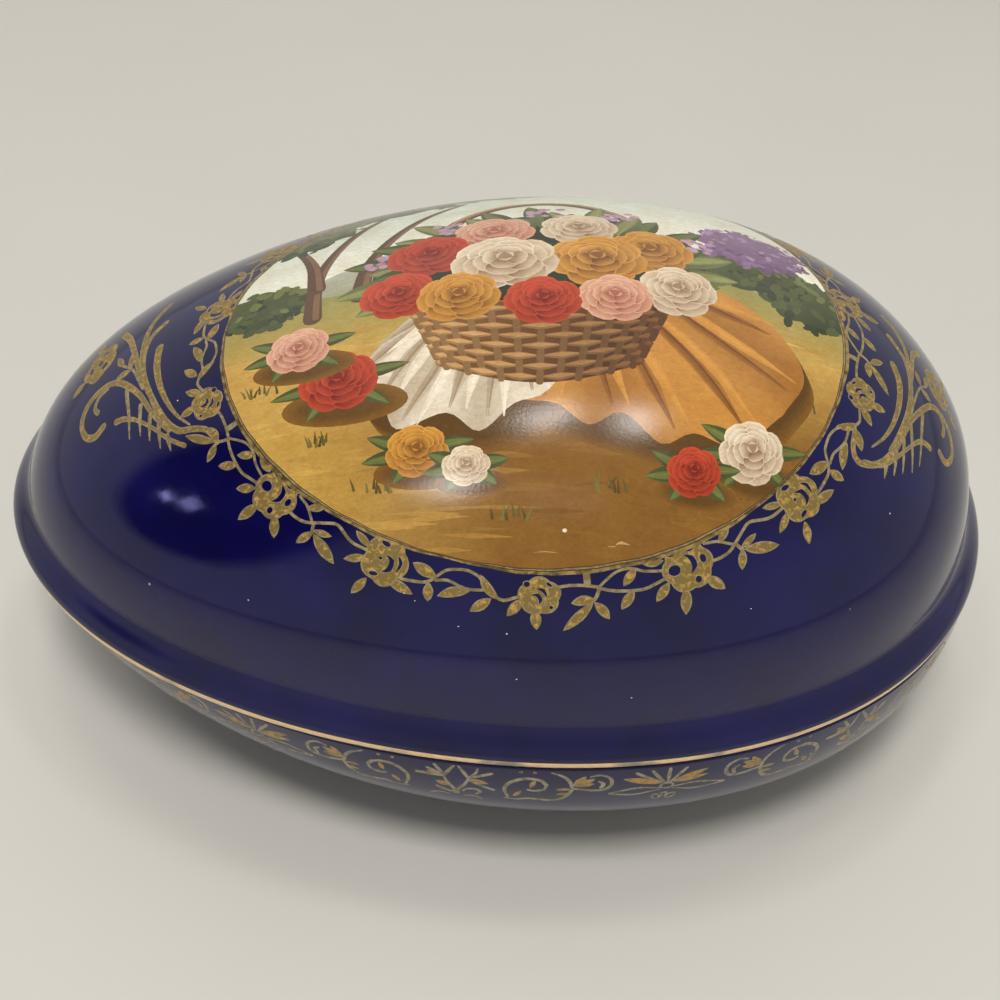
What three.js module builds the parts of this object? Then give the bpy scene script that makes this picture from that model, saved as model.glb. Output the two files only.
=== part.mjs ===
import * as THREE from 'three';

// An egg-shaped porcelain trinket box, lying on its long side, in millimetres with +Z up.
// The blunt end points along +X. The origin is under the middle of the box, on the table.
// Two hollow shells of glazed porcelain: a base with a low oval foot, and a lid that lifts
// straight off. The base's top has a raised ring, the gallery, that keeps the lid in place.

// Outline of the rim, seen from above
const RIM_LENGTH = 165;
const RIM_WIDTH = 117.8;
// How much wider the egg gets towards its blunt end, and how full its two ends are
const PLAN_SWELL = 0.093;
const PLAN_FULLNESS = 0.051;

// Lid: a dome on a short upright skirt, with a cove above its flared, rounded lip
const DOME_HEIGHT = 42;
const DOME_SWELL = 0.216;
const DOME_FULLNESS = -0.046;
const SKIRT_HEIGHT = 3;
const LIP_FLARE = 1.9;
const LIP_THICKNESS = 1.1;
const COVE_HEIGHT = 3.8;
const LID_WALL = 3;

// Base: a bowl that is fuller than an ellipse, deeper on its blunt side, over a foot ring
const BOWL_DEPTH = 36;
const BOWL_SWELL = 0.3;
const BOWL_POWER = 2.3;
const BASE_WALL = 3.2;
const RIM_ROUNDING = 0.5;
const FOOT_LENGTH = 82.5;
const FOOT_HEIGHT = 2.9;
const FOOT_RING_WIDTH = 4;
const FOOT_CHAMFER = 0.6;
const FOOT_RECESS = 1.6;

// Gallery on the base, inside the lid's skirt
const GALLERY_RISE = 2.7;
const GALLERY_WALL = 2.2;
const GALLERY_CLEARANCE = 0.5;
const GALLERY_FADE = 8;
const EDGE_CHAMFER = 0.4;

// The lid's seat and the base's rim are kept this far apart
const SEAM_GAP = 0.3;

// Steps around the egg, and along each stretch of its section
const SIDES = 64;
const DOME_STEPS = 15;
const INNER_DOME_STEPS = 11;
const COVE_STEPS = 3;
const BOWL_STEPS = 11;
const INNER_BOWL_STEPS = 12;

const HALF_LENGTH = RIM_LENGTH / 2;
const HALF_WIDTH = RIM_WIDTH / 2;
const FOOT_SHARE = FOOT_LENGTH / RIM_LENGTH;

// A point of the egg's plan. share runs from 0 on the axis to 1 at the outline, and inset
// draws the outline itself in by that much. along is where the point is, from -1 to 1.
function planPoint(angle, share, inset) {
  const along = share * Math.cos(angle);
  const swell = 1 + PLAN_SWELL * along + PLAN_FULLNESS * along * along;
  return {
    along,
    x: (HALF_LENGTH - inset) * along,
    y: (HALF_WIDTH - inset) * swell * share * Math.sin(angle),
  };
}

// Height of the dome over the skirt's top, for a dome of the given rise
function domeHeight(along, share, rise) {
  const swell = 1 + DOME_SWELL * along + DOME_FULLNESS * along * along;
  return rise * swell * Math.sqrt(Math.max(0, 1 - share * share));
}

// Depth of the bowl under the base's rim, for a bowl of the given full depth
function bowlDepth(along, share, depth) {
  const drop = Math.pow(Math.max(0, 1 - Math.pow(share, BOWL_POWER)), 1 / BOWL_POWER);
  return depth * drop * (1 + BOWL_SWELL * along * (1 - drop * drop));
}

// Heights that follow from the sizes above
const SEAM_Z = FOOT_HEIGHT + bowlDepth(0, FOOT_SHARE, BOWL_DEPTH) + RIM_ROUNDING;
const SEAT_Z = SEAM_Z + SEAM_GAP / 2;
const LEDGE_Z = SEAM_Z - SEAM_GAP / 2;
const BOWL_TOP_Z = SEAM_Z - RIM_ROUNDING;
const SKIRT_TOP_Z = SEAM_Z + SKIRT_HEIGHT;
const LIP_TOP_Z = SEAT_Z + LIP_THICKNESS;
const GALLERY_TOP_Z = SEAM_Z + GALLERY_RISE;
const FLOOR_Z = FOOT_RECESS + BASE_WALL;

// Insets that follow from the sizes above
const LID_INNER_INSET = LIP_FLARE + LID_WALL;
const GALLERY_OUTER_INSET = LID_INNER_INSET + GALLERY_CLEARANCE;
const GALLERY_INNER_INSET = GALLERY_OUTER_INSET + GALLERY_WALL;

// One ring of points around the egg. place gives a point's plan and height at an angle.
function ring(place) {
  const points = [];
  for (let side = 0; side < SIDES; side += 1) {
    const point = place((2 * Math.PI * side) / SIDES);
    points.push(new THREE.Vector3(point.x, point.y, point.z));
  }
  return points;
}

// A ring on one level
function levelRing(share, inset, z) {
  return ring((angle) => ({ ...planPoint(angle, share, inset), z }));
}

// A closed body from rings in order, from its first pole over the outside to its last pole
function bodyOfRings(firstPole, rings, lastPole) {
  const positions = [...firstPole.toArray()];
  rings.forEach((points) => points.forEach((point) => positions.push(...point.toArray())));
  positions.push(...lastPole.toArray());
  const vertex = (row, side) => 1 + row * SIDES + (side % SIDES);
  const last = 1 + rings.length * SIDES;
  const triangles = [];
  for (let side = 0; side < SIDES; side += 1) {
    triangles.push(0, vertex(0, side), vertex(0, side + 1));
    for (let row = 0; row + 1 < rings.length; row += 1) {
      const a = vertex(row, side);
      const b = vertex(row, side + 1);
      const c = vertex(row + 1, side);
      const d = vertex(row + 1, side + 1);
      triangles.push(a, c, d, a, d, b);
    }
    triangles.push(last, vertex(rings.length - 1, side + 1), vertex(rings.length - 1, side));
  }
  const geometry = new THREE.BufferGeometry();
  geometry.setAttribute('position', new THREE.Float32BufferAttribute(positions, 3));
  geometry.setIndex(triangles);
  geometry.computeVertexNormals();
  return geometry;
}

// How far the lid's outside stands back from the lip at a height: the cove's curve
function coveInset(z) {
  const rise = Math.min(1, Math.max(0, (z - LIP_TOP_Z) / COVE_HEIGHT));
  return LIP_FLARE * (1 - (1 - rise) * (1 - rise));
}

function lidGeometry() {
  const rings = [];
  for (let step = 1; step <= DOME_STEPS; step += 1) {
    const share = Math.sin((step / DOME_STEPS) * (Math.PI / 2));
    rings.push(ring((angle) => {
      const { along } = planPoint(angle, share, 0);
      const z = SKIRT_TOP_Z + domeHeight(along, share, DOME_HEIGHT);
      return { ...planPoint(angle, share, coveInset(z)), z };
    }));
  }
  for (let step = 1; step <= COVE_STEPS; step += 1) {
    const z = SKIRT_TOP_Z + (LIP_TOP_Z - SKIRT_TOP_Z) * (step / COVE_STEPS);
    rings.push(levelRing(1, coveInset(z), z));
  }
  rings.push(levelRing(1, 0, SEAT_Z + EDGE_CHAMFER));
  rings.push(levelRing(1, EDGE_CHAMFER, SEAT_Z));
  rings.push(levelRing(1, LID_INNER_INSET - EDGE_CHAMFER, SEAT_Z));
  rings.push(levelRing(1, LID_INNER_INSET, SEAT_Z + EDGE_CHAMFER));
  const innerRise = DOME_HEIGHT - LID_WALL;
  for (let step = INNER_DOME_STEPS; step >= 1; step -= 1) {
    const share = Math.sin((step / INNER_DOME_STEPS) * (Math.PI / 2));
    rings.push(ring((angle) => {
      const point = planPoint(angle, share, LID_INNER_INSET);
      return { ...point, z: SKIRT_TOP_Z + domeHeight(point.along, share, innerRise) };
    }));
  }
  const crown = new THREE.Vector3(0, 0, SKIRT_TOP_Z + DOME_HEIGHT);
  const innerCrown = new THREE.Vector3(0, 0, SKIRT_TOP_Z + innerRise);
  return bodyOfRings(crown, rings, innerCrown);
}

// The inset of the bowl's inside at a height: the plain wall below, the gallery's above
function innerBowlInset(z) {
  const below = Math.min(1, Math.max(0, (BOWL_TOP_Z - z) / GALLERY_FADE));
  const blend = below * below * (3 - 2 * below);
  return GALLERY_INNER_INSET + (BASE_WALL - GALLERY_INNER_INSET) * blend;
}

function baseGeometry() {
  const rings = [];
  const innerDepth = BOWL_DEPTH - BASE_WALL;
  const innerHeight = (along, share) => (
    Math.max(FLOOR_Z, BOWL_TOP_Z - bowlDepth(along, share, innerDepth))
  );
  const bowlShare = (step, steps) => Math.pow(Math.cos((step / steps) * (Math.PI / 2)), 2 / BOWL_POWER);
  for (let step = INNER_BOWL_STEPS - 1; step >= 0; step -= 1) {
    const share = bowlShare(step, INNER_BOWL_STEPS);
    rings.push(ring((angle) => {
      const { along } = planPoint(angle, share, 0);
      const z = innerHeight(along, share);
      return { ...planPoint(angle, share, innerBowlInset(z)), z };
    }));
  }
  rings.push(levelRing(1, GALLERY_INNER_INSET, GALLERY_TOP_Z - EDGE_CHAMFER));
  rings.push(levelRing(1, GALLERY_INNER_INSET - EDGE_CHAMFER, GALLERY_TOP_Z));
  rings.push(levelRing(1, GALLERY_OUTER_INSET + EDGE_CHAMFER, GALLERY_TOP_Z));
  rings.push(levelRing(1, GALLERY_OUTER_INSET, GALLERY_TOP_Z - EDGE_CHAMFER));
  rings.push(levelRing(1, GALLERY_OUTER_INSET, LEDGE_Z));
  rings.push(levelRing(1, RIM_ROUNDING, LEDGE_Z));
  const footAngle = Math.acos(Math.pow(FOOT_SHARE, BOWL_POWER / 2));
  for (let step = 0; step <= BOWL_STEPS; step += 1) {
    const share = Math.pow(Math.cos((step / BOWL_STEPS) * footAngle), 2 / BOWL_POWER);
    rings.push(ring((angle) => {
      const point = planPoint(angle, share, 0);
      return { ...point, z: BOWL_TOP_Z - bowlDepth(point.along, share, BOWL_DEPTH) };
    }));
  }
  const footInset = (distance) => distance / FOOT_SHARE;
  const innerFoot = FOOT_RING_WIDTH - FOOT_CHAMFER;
  rings.push(levelRing(FOOT_SHARE, 0, FOOT_CHAMFER));
  rings.push(levelRing(FOOT_SHARE, footInset(FOOT_CHAMFER), 0));
  rings.push(levelRing(FOOT_SHARE, footInset(innerFoot), 0));
  rings.push(levelRing(FOOT_SHARE, footInset(FOOT_RING_WIDTH), FOOT_RECESS));
  const innerFloor = new THREE.Vector3(0, 0, FLOOR_Z);
  const underside = new THREE.Vector3(0, 0, FOOT_RECESS);
  return bodyOfRings(innerFloor, rings, underside);
}

function piece(name, geometry, material) {
  const mesh = new THREE.Mesh(geometry, material);
  mesh.name = name;
  return mesh;
}

const cobaltGlaze = new THREE.MeshStandardMaterial({ color: 0x1a1a5c, roughness: 0.12, metalness: 0 });
const cobaltGlazeBase = cobaltGlaze.clone();

const box = new THREE.Group();
box.name = 'egg_trinket_box';
box.add(piece('lid', lidGeometry(), cobaltGlaze));
box.add(piece('base', baseGeometry(), cobaltGlazeBase));

export default box;
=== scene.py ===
"""An egg-shaped porcelain trinket box: cobalt glaze, gilt garland, painted oval, banded base.

All drawing is done in millimetres on flat plans of the two shells, cut into the mesh of the
shell it lies on, and then carried to the curved surface. Nothing of it stands proud.
"""

import math

import bpy
import numpy as np
from mathutils import Matrix, Vector
from mathutils.bvhtree import BVHTree
from mathutils.geometry import delaunay_2d_cdt


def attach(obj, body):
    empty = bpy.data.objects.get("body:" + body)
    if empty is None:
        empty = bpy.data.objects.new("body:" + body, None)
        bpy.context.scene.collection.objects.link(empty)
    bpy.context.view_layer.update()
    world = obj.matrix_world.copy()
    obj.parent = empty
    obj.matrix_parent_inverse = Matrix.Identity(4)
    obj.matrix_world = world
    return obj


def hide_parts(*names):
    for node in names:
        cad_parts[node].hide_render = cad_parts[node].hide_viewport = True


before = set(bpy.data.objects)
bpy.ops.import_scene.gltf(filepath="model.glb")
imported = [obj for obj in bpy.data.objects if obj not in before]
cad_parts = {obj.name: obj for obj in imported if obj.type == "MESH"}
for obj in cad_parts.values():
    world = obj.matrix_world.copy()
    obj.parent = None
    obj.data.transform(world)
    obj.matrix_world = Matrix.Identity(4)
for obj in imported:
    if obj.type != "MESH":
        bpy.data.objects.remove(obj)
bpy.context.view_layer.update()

# One millimetre, in metres
MM = 0.001
TAU = 2 * math.pi

# The egg's outline and the two shells, as in the construction, in millimetres
RIM_LENGTH = 165.0
RIM_WIDTH = 117.8
PLAN_SWELL = 0.093
PLAN_FULLNESS = 0.051
DOME_HEIGHT = 42.0
DOME_SWELL = 0.216
DOME_FULLNESS = -0.046
SKIRT_HEIGHT = 3.0
LIP_FLARE = 1.9
LID_WALL = 3.0
BOWL_DEPTH = 36.0
BOWL_SWELL = 0.3
BOWL_POWER = 2.3
BASE_WALL = 3.2
RIM_ROUNDING = 0.5
FOOT_SHARE = 0.5
FOOT_HEIGHT = 2.9
FOOT_RING_WIDTH = 4.0
FOOT_CHAMFER = 0.6
FOOT_RECESS = 1.6
GALLERY_RISE = 2.7
GALLERY_WALL = 2.2
GALLERY_CLEARANCE = 0.5
GALLERY_FADE = 8.0
EDGE_ROUNDING = 0.4
SEAM_GAP = 0.3

HALF_LENGTH = RIM_LENGTH / 2
HALF_WIDTH = RIM_WIDTH / 2
FOOT_DROP = (1 - FOOT_SHARE**BOWL_POWER) ** (1 / BOWL_POWER)
SEAM_Z = FOOT_HEIGHT + BOWL_DEPTH * FOOT_DROP + RIM_ROUNDING
SEAT_Z = SEAM_Z + SEAM_GAP / 2
LEDGE_Z = SEAM_Z - SEAM_GAP / 2
BOWL_TOP_Z = SEAM_Z - RIM_ROUNDING
SKIRT_TOP_Z = SEAM_Z + SKIRT_HEIGHT
GALLERY_TOP_Z = SEAM_Z + GALLERY_RISE
FLOOR_Z = FOOT_RECESS + BASE_WALL
LID_INNER_INSET = LIP_FLARE + LID_WALL
GALLERY_OUTER_INSET = LID_INNER_INSET + GALLERY_CLEARANCE
GALLERY_INNER_INSET = GALLERY_OUTER_INSET + GALLERY_WALL

# Steps round each shell
SIDES = 384

# The flat plans' grids of points: how far apart they are, how far a grid keeps from its plan's
# edge, and the dome's own rings of points between its grid and its rim, as shares of its plan
GRID = 1.3
PICTURE_GRID = 1.0
GRID_MARGIN = 0.7
DOME_GRID_SHARE = 0.935
RIM_RINGS = 10
RIM_RING_SHARE = 0.006

# Steps down each plain stretch of a shell
COVE_STEPS = 8
INNER_DOME_STEPS = 22
BOWL_STEPS = 14
INNER_BOWL_STEPS = 24

# The finishes of the two shells, in the order of their material slots
GLAZE, GILT_LINE, GILT_FILL, PICTURE, DARK_LINE, RIM_GILT, WHITE_GLAZE, BISCUIT = range(8)
BORDER_GILT, BAND_LINE, BAND_FILL = range(8, 11)


# Shape of the shells


def plan(along, across, inset):
    """A point of the egg's plan, from its place in a unit disc, drawn in by inset."""
    swell = 1 + PLAN_SWELL * along + PLAN_FULLNESS * along**2
    return (HALF_LENGTH - inset) * along, (HALF_WIDTH - inset) * swell * across


def eased(share):
    """From 0 to 1 with a soft start and end."""
    share = np.clip(share, 0, 1)
    return share**2 * (3 - 2 * share)


def dome_swell(along):
    return 1 + DOME_SWELL * along + DOME_FULLNESS * along**2


# The lip is a soft roll under a cove, a little fuller than in the plain construction. It stands
# out most at NOSE_Z, and is tucked in below that. NECK is how deep the cove above it goes and how
# high it is, and over FADE the dome's side comes out again
NOSE_Z = SEAT_Z + 1.6
NOSE_TUCK = 0.35
NECK_INSET = 3.0
NECK_HEIGHT = 5.0
NECK_FADE = 14.0


def cove_inset(z):
    """How far the lid's outside stands back from its lip at a height."""
    rise = eased((z - NOSE_Z) / NECK_HEIGHT)
    back_out = eased((z - NOSE_Z - NECK_HEIGHT) / NECK_FADE)
    below = np.clip((NOSE_Z - z) / (NOSE_Z - SEAT_Z), 0, 1)
    return NECK_INSET * rise + (LIP_FLARE - NECK_INSET) * back_out + NOSE_TUCK * below**2


def dome(along, across, height):
    """The lid's outside, from a point of the unit half sphere."""
    z = SKIRT_TOP_Z + DOME_HEIGHT * dome_swell(along) * height
    x, y = plan(along, across, cove_inset(z))
    return np.stack([x, y, z], -1)


# The dome's flat plan: distance from the middle runs with the angle from the crown
PLAN_U = 101.0
PLAN_V = 79.0


def to_half_sphere(flat):
    """From the dome's flat plan to a point of the unit half sphere."""
    u, v = flat[..., 0] / PLAN_U, flat[..., 1] / PLAN_V
    tilt = np.hypot(u, v) * math.pi / 2
    turn = np.arctan2(v, u)
    return np.sin(tilt) * np.cos(turn), np.sin(tilt) * np.sin(turn), np.cos(tilt)


def lid_surface(flat):
    return dome(*to_half_sphere(flat))


# How far the lid's lip hangs over the base, all round and more at the narrow end, and how far
# the bowl is drawn in halfway down its narrow end
OVERHANG = 0.25
NARROW_OVERHANG = 0.75
BOWL_TUCK = 2.0


def bowl_inset(along, drop):
    """How far the bowl is drawn in from the outline at a place."""
    depth = np.clip(drop / FOOT_DROP, 0, 1)
    narrow = eased(-along / 0.8)
    overhang = (OVERHANG + NARROW_OVERHANG * narrow) * (1 - depth)
    return overhang + BOWL_TUCK * 4 * depth * (1 - depth) * narrow


def bowl_surface(angle, fall):
    """The base's outside. fall runs from 0 at the rim to a quarter turn at the bottom."""
    share = np.cos(fall) ** (2 / BOWL_POWER)
    drop = np.sin(fall) ** (2 / BOWL_POWER)
    along = share * np.cos(angle)
    x, y = plan(along, share * np.sin(angle), bowl_inset(along, drop))
    z = BOWL_TOP_Z - BOWL_DEPTH * drop * (1 + BOWL_SWELL * along * (1 - drop**2))
    return np.stack([x, y, z], -1)


def slope_normal(surface, first, second, step=1e-3):
    """Outward unit normals of a surface of two parameters."""
    one = surface(first + step, second) - surface(first - step, second)
    two = surface(first, second + step) - surface(first, second - step)
    normal = np.cross(one, two)
    return normal / np.linalg.norm(normal, axis=-1, keepdims=True)


# Rulers on the shells: each turns mm along a line and mm away from it into a flat plan


class GarlandRuler:
    """Millimetres along the oval picture's border and outwards from it, over the dome."""

    CENTRE = (4.7, -2.8)
    HALF_U = 41.1
    HALF_V = 43.6
    STEPS = 1440
    STEP_OUT = 0.25
    REACH_OUT = 36.0
    REACH_IN = 4.0

    def __init__(self):
        angle = np.arange(self.STEPS) * TAU / self.STEPS - math.pi / 2
        border = np.stack(
            [
                self.CENTRE[0] + self.HALF_U * np.cos(angle),
                self.CENTRE[1] + self.HALF_V * np.sin(angle),
            ],
            -1,
        )
        start = self.point(border)
        ahead = np.roll(start, -1, 0) - np.roll(start, 1, 0)
        away = np.cross(ahead, self.normal(start))
        away /= np.linalg.norm(away, axis=1, keepdims=True)
        steps = np.linalg.norm(np.roll(start, -1, 0) - start, axis=1)
        self.along = np.concatenate([[0], steps.cumsum()])
        self.length = self.along[-1]
        inward = self.march(start, -away, self.REACH_IN)
        outward = self.march(start, away, self.REACH_OUT)
        self.rows = np.array(inward[::-1] + [self.flat(start)] + outward)
        self.first = -len(inward) * self.STEP_OUT

    @staticmethod
    def point(flat):
        """The dome with its sides at the full inset, which has a closed inverse."""
        along, across, height = to_half_sphere(flat)
        x, y = plan(along, across, LIP_FLARE)
        return np.stack([x, y, SKIRT_TOP_Z + DOME_HEIGHT * dome_swell(along) * height], -1)

    @staticmethod
    def flat(point):
        along = point[..., 0] / (HALF_LENGTH - LIP_FLARE)
        _, width = plan(along, 1, LIP_FLARE)
        across = point[..., 1] / width
        height = (point[..., 2] - SKIRT_TOP_Z) / (DOME_HEIGHT * dome_swell(along))
        tilt = np.arctan2(np.hypot(along, across), height) / (math.pi / 2)
        turn = np.arctan2(across, along)
        return np.stack([tilt * PLAN_U * np.cos(turn), tilt * PLAN_V * np.sin(turn)], -1)

    @classmethod
    def normal(cls, point):
        flat = cls.flat(point)
        east, north = np.array([1e-3, 0]), np.array([0, 1e-3])
        one = cls.point(flat + east) - cls.point(flat - east)
        two = cls.point(flat + north) - cls.point(flat - north)
        normal = np.cross(one, two)
        return normal / np.linalg.norm(normal, axis=-1, keepdims=True)

    def march(self, start, heading, reach):
        """Walks straight over the dome, and gives each row of places in the flat plan."""
        rows = []
        here = start
        for _ in range(int(reach / self.STEP_OUT)):
            there = self.point(self.flat(here + heading * self.STEP_OUT))
            heading = there - here
            normal = self.normal(there)
            heading -= (heading * normal).sum(1, keepdims=True) * normal
            heading /= np.linalg.norm(heading, axis=1, keepdims=True)
            here = there
            rows.append(self.flat(here))
        return rows

    def place(self, drawing):
        """From (along, out) in millimetres to the dome's flat plan."""
        drawing = np.asarray(drawing, float)
        column = np.interp(
            np.mod(drawing[:, 0], self.length), self.along, np.arange(self.STEPS + 1)
        )
        row = np.clip((drawing[:, 1] - self.first) / self.STEP_OUT, 0, len(self.rows) - 1.001)
        left = column.astype(int)
        low = row.astype(int)
        side = (column - left)[:, None]
        rise = (row - low)[:, None]
        left %= self.STEPS
        right = (left + 1) % self.STEPS
        lower = self.rows[low, left] * (1 - side) + self.rows[low, right] * side
        upper = self.rows[low + 1, left] * (1 - side) + self.rows[low + 1, right] * side
        return lower * (1 - rise) + upper * rise


class BandRuler:
    """Millimetres along the base's rim and down from it, over the bowl."""

    STEPS = 1440
    FALLS = np.linspace(1e-6, 1.2, 241)
    DOWNS = np.linspace(0, 20, 401)

    def __init__(self):
        self.angle = np.arange(self.STEPS + 1) * TAU / self.STEPS - math.pi / 2
        grid = bowl_surface(self.angle[None, :], self.FALLS[:, None])
        rim = grid[0]
        steps = np.linalg.norm(np.diff(rim, axis=0), axis=1)
        self.along = np.concatenate([[0], steps.cumsum()])
        self.length = self.along[-1]
        self.radius = self.length / TAU
        down = np.linalg.norm(np.diff(grid, axis=0), axis=-1).cumsum(0)
        down = np.concatenate([np.zeros((1, self.STEPS + 1)), down])
        self.fall_at = np.array(
            [np.interp(self.DOWNS, down[:, column], self.FALLS) for column in range(self.STEPS + 1)]
        )

    def place(self, drawing):
        """From (along, down) to a ring-shaped flat plan, rim outside."""
        drawing = np.asarray(drawing, float)
        turn = drawing[:, 0] / self.radius - math.pi / 2
        out = self.radius - drawing[:, 1]
        return np.stack([out * np.cos(turn), out * np.sin(turn)], -1)

    def angle_and_fall(self, flat):
        """Where a place of the ring-shaped plan is on the bowl."""
        turn = np.mod(np.arctan2(flat[:, 1], flat[:, 0]) + math.pi / 2, TAU)
        down = np.clip(self.radius - np.hypot(flat[:, 0], flat[:, 1]), 0, None)
        column = np.interp(turn * self.radius, self.along, np.arange(self.STEPS + 1))
        left = np.minimum(column.astype(int), self.STEPS - 1)
        side = column - left
        row = np.clip(down / self.DOWNS[1], 0, len(self.DOWNS) - 1.001)
        low = row.astype(int)
        rise = row - low
        here = self.fall_at[left, low] * (1 - rise) + self.fall_at[left, low + 1] * rise
        after = self.fall_at[left + 1, low] * (1 - rise) + self.fall_at[left + 1, low + 1] * rise
        return column * TAU / self.STEPS - math.pi / 2, here * (1 - side) + after * side


# Drawing in a plane. A drawing is a list of (points, finish), painted in order


def smooth_path(points, step=0.5):
    """A round line through the points, with a point about every step."""
    points = np.asarray(points, float)
    if len(points) == 2:
        count = max(2, int(np.linalg.norm(points[1] - points[0]) / step) + 1)
        return points[0] + (points[1] - points[0]) * np.linspace(0, 1, count)[:, None]
    padded = np.vstack([2 * points[0] - points[1], points, 2 * points[-1] - points[-2]])
    path = []
    for index in range(len(points) - 1):
        a, b, c, d = padded[index : index + 4]
        count = max(2, int(np.linalg.norm(c - b) / step))
        s = (np.arange(count) / count)[:, None]
        path.append(
            b
            + 0.5 * s * (c - a)
            + s**2 * (a - 2.5 * b + 2 * c - 0.5 * d)
            + s**3 * (-0.5 * a + 1.5 * b - 1.5 * c + 0.5 * d)
        )
    return np.vstack([*path, points[-1:]])


def ribbon(points, widths, step=0.5):
    """The outline of a round-ended stroke. widths are spread evenly along it."""
    path = smooth_path(points, step)
    widths = np.atleast_1d(np.asarray(widths, float))
    share = np.linspace(0, 1, len(path))
    half = np.interp(share, np.linspace(0, 1, len(widths)), widths)[:, None] / 2
    heading = np.gradient(path, axis=0)
    heading /= np.linalg.norm(heading, axis=1, keepdims=True) + 1e-12
    side = np.stack([-heading[:, 1], heading[:, 0]], -1)
    cap = np.linspace(-math.pi / 2, math.pi / 2, 6)[1:-1, None]
    end = path[-1] + half[-1] * (heading[-1] * np.cos(cap) - side[-1] * np.sin(cap))
    start = path[0] - half[0] * (heading[0] * np.cos(cap) - side[0] * np.sin(cap))
    return np.vstack([path + side * half, end, (path - side * half)[::-1], start])


def leaf_outline(base, tip, width, bend=0.0, margin=0.0):
    """A lens-shaped leaf from base to tip, drawn in by margin."""
    base, tip = np.asarray(base, float), np.asarray(tip, float)
    axis = tip - base
    length = np.linalg.norm(axis)
    axis = axis / length
    side = np.array([-axis[1], axis[0]])
    share = np.linspace(0, 1, 9)
    reach = margin * 1.4
    spine = base + axis * (reach + (length - 2 * reach) * share)[:, None]
    spine = spine + side * (bend * width * np.sin(math.pi * share))[:, None]
    half = (max(width / 2 - margin, 0.05) * np.sin(math.pi * share) ** 0.8)[:, None]
    return np.vstack([spine + side * half, (spine - side * half)[-2:0:-1]])


def oval(centre, half_x, half_y, turn=0.0, count=12):
    angle = np.arange(count) * TAU / count
    x, y = half_x * np.cos(angle), half_y * np.sin(angle)
    spin = math.radians(turn)
    return np.stack(
        [
            centre[0] + x * math.cos(spin) - y * math.sin(spin),
            centre[1] + x * math.sin(spin) + y * math.cos(spin),
        ],
        -1,
    )


def lobed(centre, half_x, half_y, lobes, depth, turn, count=48):
    """A scalloped outline, like a rose seen from the front."""
    angle = np.arange(count) * TAU / count
    reach = 1 + depth * (np.abs(np.cos(lobes * (angle - math.radians(turn)) / 2)) * 2 - 1)
    return np.stack(
        [
            centre[0] + half_x * reach * np.cos(angle),
            centre[1] + half_y * reach * np.sin(angle),
        ],
        -1,
    )


# How wide the bright line round a gilt leaf or rose is
OUTLINE = 0.22


def add_leaf(drawing, base, tip, width, bend=0.0):
    drawing.append((leaf_outline(base, tip, width, bend), GILT_LINE))
    drawing.append((leaf_outline(base, tip, width, bend, OUTLINE), GILT_FILL))


def add_line(drawing, points, width=0.45):
    drawing.append((ribbon(points, width), GILT_LINE))


def add_opening(drawing, centre, half_x, half_y, turn=0.0):
    """A spot of bare glaze in a rose, with a bright line round it."""
    drawing.append((oval(centre, half_x + 0.14, half_y + 0.14, turn), GILT_LINE))
    drawing.append((oval(centre, half_x, half_y, turn), GLAZE))


def add_crescent(drawing, points, width):
    drawing.append((ribbon(points, [0.35, width + 0.25, width + 0.25, 0.35]), GILT_LINE))
    drawing.append((ribbon(points, [0.1, width, width, 0.1]), GLAZE))


def add_rose(drawing, centre, half_x, half_y, lobes, depth, turn):
    drawing.append((lobed(centre, half_x, half_y, lobes, depth, turn), GILT_LINE))
    inner_x, inner_y = half_x - OUTLINE, half_y - OUTLINE
    drawing.append((lobed(centre, inner_x, inner_y, lobes, depth, turn), GILT_FILL))


# The garland round the picture: three roses and their links, in millimetres along the
# border and out from it


def square_rose(drawing):
    add_leaf(drawing, (-0.9, 4.2), (-2.8, 6.9), 1.4)
    add_leaf(drawing, (0.7, 5.6), (1.0, 8.6), 1.4)
    add_rose(drawing, (1.25, 3.8), 2.75, 2.6, 5, 0.07, 50)
    add_opening(drawing, (-0.5, 2.2), 0.42, 0.38)
    add_opening(drawing, (2.5, 2.2), 0.48, 0.2, 35)
    add_crescent(drawing, [(0.9, 2.8), (1.7, 3.0), (2.2, 3.9)], 0.45)
    add_crescent(drawing, [(0.2, 3.7), (1.0, 3.7), (1.4, 4.4), (1.2, 4.9)], 0.5)
    add_opening(drawing, (2.75, 5.4), 0.24, 0.24)
    add_line(drawing, [(-0.8, 3.4), (-0.3, 4.6), (0.9, 5.6)], 0.2)
    add_line(drawing, [(1.6, 5.5), (2.2, 4.4), (3.2, 3.9)], 0.2)


def link_after_square_rose(drawing):
    add_line(drawing, [(3.7, 2.6), (5, 2.4), (7, 2.5), (8.3, 2.8), (9.1, 3.0)])
    add_line(drawing, [(7.6, 0.6), (7.6, 2.3)], 0.95)
    add_line(drawing, [(9.1, 3.2), (8.7, 4.2), (8.2, 4.8)], 0.5)
    add_leaf(drawing, (8.5, 4.7), (5.3, 4.9), 1.45, 0.12)
    add_leaf(drawing, (8.2, 5.0), (4.2, 8.8), 1.4)
    add_leaf(drawing, (8.3, 5.0), (10, 7.7), 1.3, -0.1)
    add_line(
        drawing,
        [(9.2, 2.9), (10.5, 1.9), (11.8, 1.2), (13.4, 1.1), (14.5, 1.5), (15.5, 2.0), (17.9, 2.6)],
        0.4,
    )
    add_leaf(drawing, (14.4, 1.2), (12.3, 3.4), 1.35)
    add_line(drawing, [(9.2, 3.2), (11, 3.8), (13, 4.2), (15, 4.4), (16.5, 4.1), (17.9, 3.8)])
    add_leaf(drawing, (13.6, 4.2), (11.6, 6.6), 1.4)


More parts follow.
